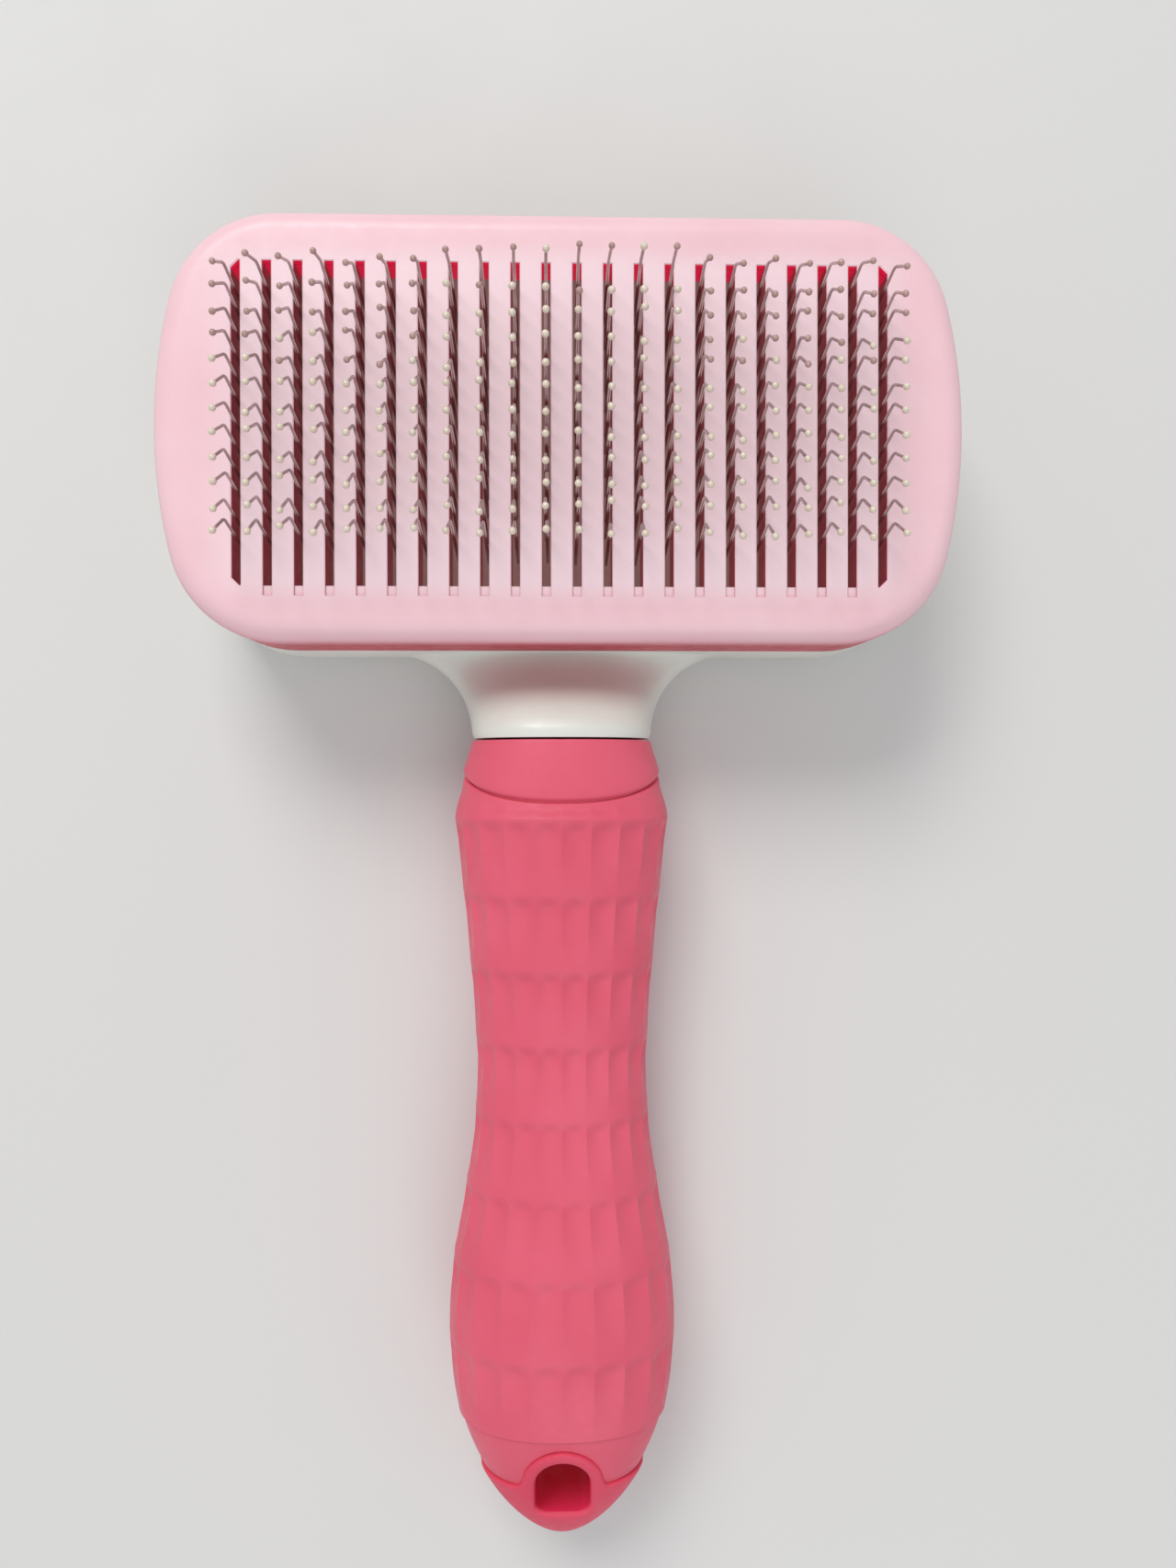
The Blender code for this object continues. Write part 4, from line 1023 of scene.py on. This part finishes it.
def lip_ring(share, start, sunk, inward=0.0):
    """A ring between a flat station and the lip's line, which it reaches when share is 1."""
    ring = []
    for (x, z), (nx, nz) in zip(UNIT, UNIT_OUT):
        low, high = LIP_Y - 1, ARCH_Y + ARCH_RING + 1
        for _ in range(24):
            middle = (low + high) / 2
            if middle > lip(half_width(middle) * x):
                high = middle
            else:
                low = middle
        y = start + (low + LIP_GAP - start) * share
        half = half_width(y)
        ring.append(((half * x - nx * sunk) * (1 - inward), y,
                     HANDLE_LEVEL + (half * z - nz * sunk) * (1 - inward)))
    return ring


def make_grip():
    front = SEAM - SEAM_GAP
    rings = [bore_ring(front, BORE, SEAM_SAG)]
    rings += [grip_ring(front - back, SEAM_SAG, sunk) for back, sunk in GRIP_EDGE]
    first, last = front - GRIP_EDGE[-1][0], BAND_EDGES[0] + 0.02
    for i in range(1, 9):
        share = i / 8
        rings.append(grip_ring(first + (last - first) * share, SEAM_SAG * (1 - share)))
    for upper, lower in zip(BAND_EDGES, BAND_EDGES[1:]):
        for share in BAND_STATIONS:
            just_above = 1e-4 if share == 1.0 else 0
            rings.append(grip_ring(upper - (upper - lower) * share + just_above))
    start = BAND_EDGES[-1] - 0.14
    rings.append(grip_ring(start, sunk=END_SUNK))
    for share in (0.15, 0.3, 0.45, 0.6, 0.75, 0.88, 0.96):
        rings.append(lip_ring(share, start, END_SUNK + (LIP_SUNK - END_SUNK) * share))
    rings.append(lip_ring(1.0, start, LIP_SUNK + 0.1))
    rings.append(lip_ring(1.0, start, LIP_SUNK, 0.12))
    rings.append(bore_ring(SLEEVE_END, BORE))
    add_piece("grip_sleeve", loft(rings, close=True), [RUBBER], "housing", ["grip"],
              angle=24)


def collar_ring(half, y, sag=0.0):
    return section(half, half * FLATNESS, y, sag=sag, steps=COLLAR_STEPS)


def make_collar():
    """Ring between neck and grip, with a tongue that floors the seam and a shallow gate mark on top."""
    rings = [section(*BORE, COLLAR_FRONT, steps=COLLAR_STEPS)]
    rings += [collar_ring(COLLAR_FRONT_HALF - low, COLLAR_FRONT - back) for back, low in COLLAR_FRONT_EDGE]
    back = SEAM + SEAM_GAP
    first, last = COLLAR_FRONT - COLLAR_FRONT_EDGE[-1][0], back + 0.6
    for i in range(1, 8):
        share = i / 7
        half = COLLAR_FRONT_HALF + (COLLAR_BACK_HALF - COLLAR_FRONT_HALF) * share
        rings.append(collar_ring(half, first + (last - first) * share, SEAM_SAG * share))
    for ahead, low in COLLAR_BACK_EDGE + COLLAR_TONGUE:
        rings.append(collar_ring(COLLAR_BACK_HALF - low, back + ahead, SEAM_SAG))
    rings.append(section(*BORE, back + COLLAR_TONGUE[-1][0], sag=SEAM_SAG, steps=COLLAR_STEPS))
    top = COLLAR_STEPS // 4
    for ring, dent in zip(rings[1:], GATE_MARK):
        x, y, z = ring[top]
        ring[top] = (x, y, z - dent)
    add_piece("collar_ring", loft(rings, close=True), [RUBBER], "housing", ["collar"],
              angle=50)


def hole_outline(grow, steps=28):
    half, low, corner = HOLE_HALF + grow, HOLE_LOW - grow, HOLE_CORNER + grow
    outline = arc((0, ARCH_Y), half, 0, pi, steps)
    outline += arc((corner - half, low + corner), corner, pi, 1.5 * pi, 8)
    outline += arc((half - corner, low + corner), corner, 1.5 * pi, 2 * pi, 8)
    return outline


def surface_level(x, y):
    """Height of the handle's smooth upper surface over its middle level."""
    half = half_width(y)
    if half <= abs(x):
        return 0.0
    return half * FLATNESS * (1 - (abs(x) / half) ** POWER) ** (1 / POWER)


def hole_cutter():
    """The hole's shape, flared at both ends so that its rims are rounded."""
    quarter = [pi / 2 * i / 7 for i in range(8)]
    flare = [(HOLE_FILLET * 1.02, -HOLE_PAST), (HOLE_FILLET * 1.02, -0.4)]
    flare += [(HOLE_FILLET * (1 - sin(a)), HOLE_FILLET * (1 - cos(a))) for a in quarter]
    rings = []
    for side in (1, -1):
        stack = [[(x, y, HANDLE_LEVEL + side * (surface_level(x, y) - depth))
                  for x, y in hole_outline(grow)] for grow, depth in flare]
        rings += stack if side > 0 else stack[::-1]
    return solid(rings)


def lip_cutter():
    """Everything on the grip's side of the lip, as one tall block seen from above."""
    wide = BULGE[1] + 4.2
    steps = 120
    across = [wide * (2 * i / steps - 1) for i in range(steps + 1)]
    outline = [(wide, BULGE[0] - 2), (-wide, BULGE[0] - 2)] + [(x, lip(x)) for x in across]
    return solid([at_level(outline, HANDLE_LEVEL - 18), at_level(outline, HANDLE_LEVEL + 19)])


def make_end_cap():
    """End of the handle: a smooth cap with a raised arch round the hang hole, and the core rod."""
    steps = 40
    start = asin((BULGE[0] - CAP_FIRST) / (BULGE[0] - END))
    rings = []
    for i in range(steps):
        y = BULGE[0] - (BULGE[0] - END) * sin(start + (pi / 2 - start) * i / (steps + 0.6))
        rings.append(section(half_width(y), half_width(y) * FLATNESS, y, steps=128))
    rings.append(section(0.1, 0.1 * FLATNESS, END, steps=128))
    cap = solid(rings)
    carve(cap, [lip_cutter(), hole_cutter()])
    remesh = cap.modifiers.new("remesh", "REMESH")
    remesh.mode = "VOXEL"
    remesh.voxel_size = CAP_VOXEL * MM
    smooth = cap.modifiers.new("smooth", "SMOOTH")
    smooth.factor = 0.5
    smooth.iterations = 11
    bake(cap)
    add_core(cap)
    cap.name = cap.data.name = "handle_end_cap"
    dress(cap, [CAP_RUBBER, HOLE_PAINTED_LIGHT_RUBBER], 60)
    # Painted light: faces on the hang hole's inner walls get the brighter hole copy of the rubber.
    for face in cap.data.polygons:
        x, y = face.center[0] / MM, face.center[1] / MM
        low, high = HOLE_LOW - HOLE_MARGIN, ARCH_Y + HOLE_HALF + HOLE_MARGIN
        if abs(x) < HOLE_HALF + HOLE_MARGIN and low < y < high and abs(face.normal[2]) < 0.3:
            face.material_index = 1
    mount(cap, "housing", ["handle_core"])


def add_core(cap):
    """Join the rod that runs through the grip into the neck to the cap's mesh."""
    rod = loft([section(*CORE, y, steps=48) for y in (26.7, 26.2, -72.2, -72.9)])
    rod.transform(MM_MATRIX)
    spare = bpy.data.meshes.new("rod")
    rod.to_mesh(spare)
    rod.free()
    joined = bmesh.new()
    joined.from_mesh(cap.data)
    joined.from_mesh(spare)
    bmesh.ops.recalc_face_normals(joined, faces=joined.faces)
    joined.to_mesh(cap.data)
    joined.free()


# CAD nodes that stay, with their finishes

def dress_nodes():
    for name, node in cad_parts.items():
        if node.hide_render:
            continue
        material = GREY if name == "pin_retainer" else STEEL
        node.data.materials.clear()
        node.data.materials.append(material)


# Floor, light and camera

def make_stage():
    """Plain pale floor just under the brush."""
    bm = bmesh.new()
    half = 1500.0
    level = -0.15
    bm.faces.new([bm.verts.new((x, y, level)) for x, y in rectangle(-half, half, -half, half)])
    floor = raw_object("floor", bm)
    floor.data.materials.append(FLOOR)


def add_light(name, place, size, power, colour):
    """A soft rectangular light that points at the middle of the brush."""
    light = bpy.data.lights.new(name, "AREA")
    light.shape = "RECTANGLE"
    light.size, light.size_y = size
    light.energy = power
    light.color = colour
    made = bpy.data.objects.new(name, light)
    made.location = place
    bpy.context.scene.collection.objects.link(made)
    made.rotation_euler = (-made.location).to_track_quat("-Z", "Y").to_euler()


def make_light():
    add_light("window", place=(-0.26, 0.76, 0.8), size=(0.5, 0.45), power=6.0, colour=(1.0, 0.985, 0.96))
    add_light("room", place=(0.08, -0.62, 0.8), size=(0.7, 0.7), power=2.2, colour=(0.98, 0.99, 1.0))
    world = bpy.data.worlds.new("world")
    bpy.context.scene.world = world
    world.use_nodes = True
    background = world.node_tree.nodes["Background"]
    background.inputs["Color"].default_value = (0.96, 0.97, 1.0, 1)
    background.inputs["Strength"].default_value = 0.5


def make_camera():
    camera = bpy.data.cameras.new("camera")
    camera.lens = 27.05
    camera.sensor_width = 36.0
    camera.clip_start = 0.01
    made = bpy.data.objects.new("camera", camera)
    made.location = (-0.0009, 0.0171, 0.17925)
    made.rotation_euler = (radians(-0.42), radians(-1.6), radians(-0.06))
    bpy.context.scene.collection.objects.link(made)
    bpy.context.scene.camera = made
    bpy.context.scene.view_settings.view_transform = "Standard"


make_camera()
make_light()
make_stage()
make_face_plate()
make_middle_frame()
make_back_shell()
make_bed()
for column in range(SLOT_COUNT):
    make_pin_row(column)
make_button()
make_screws()
make_collar()
make_grip()
make_end_cap()
dress_nodes()
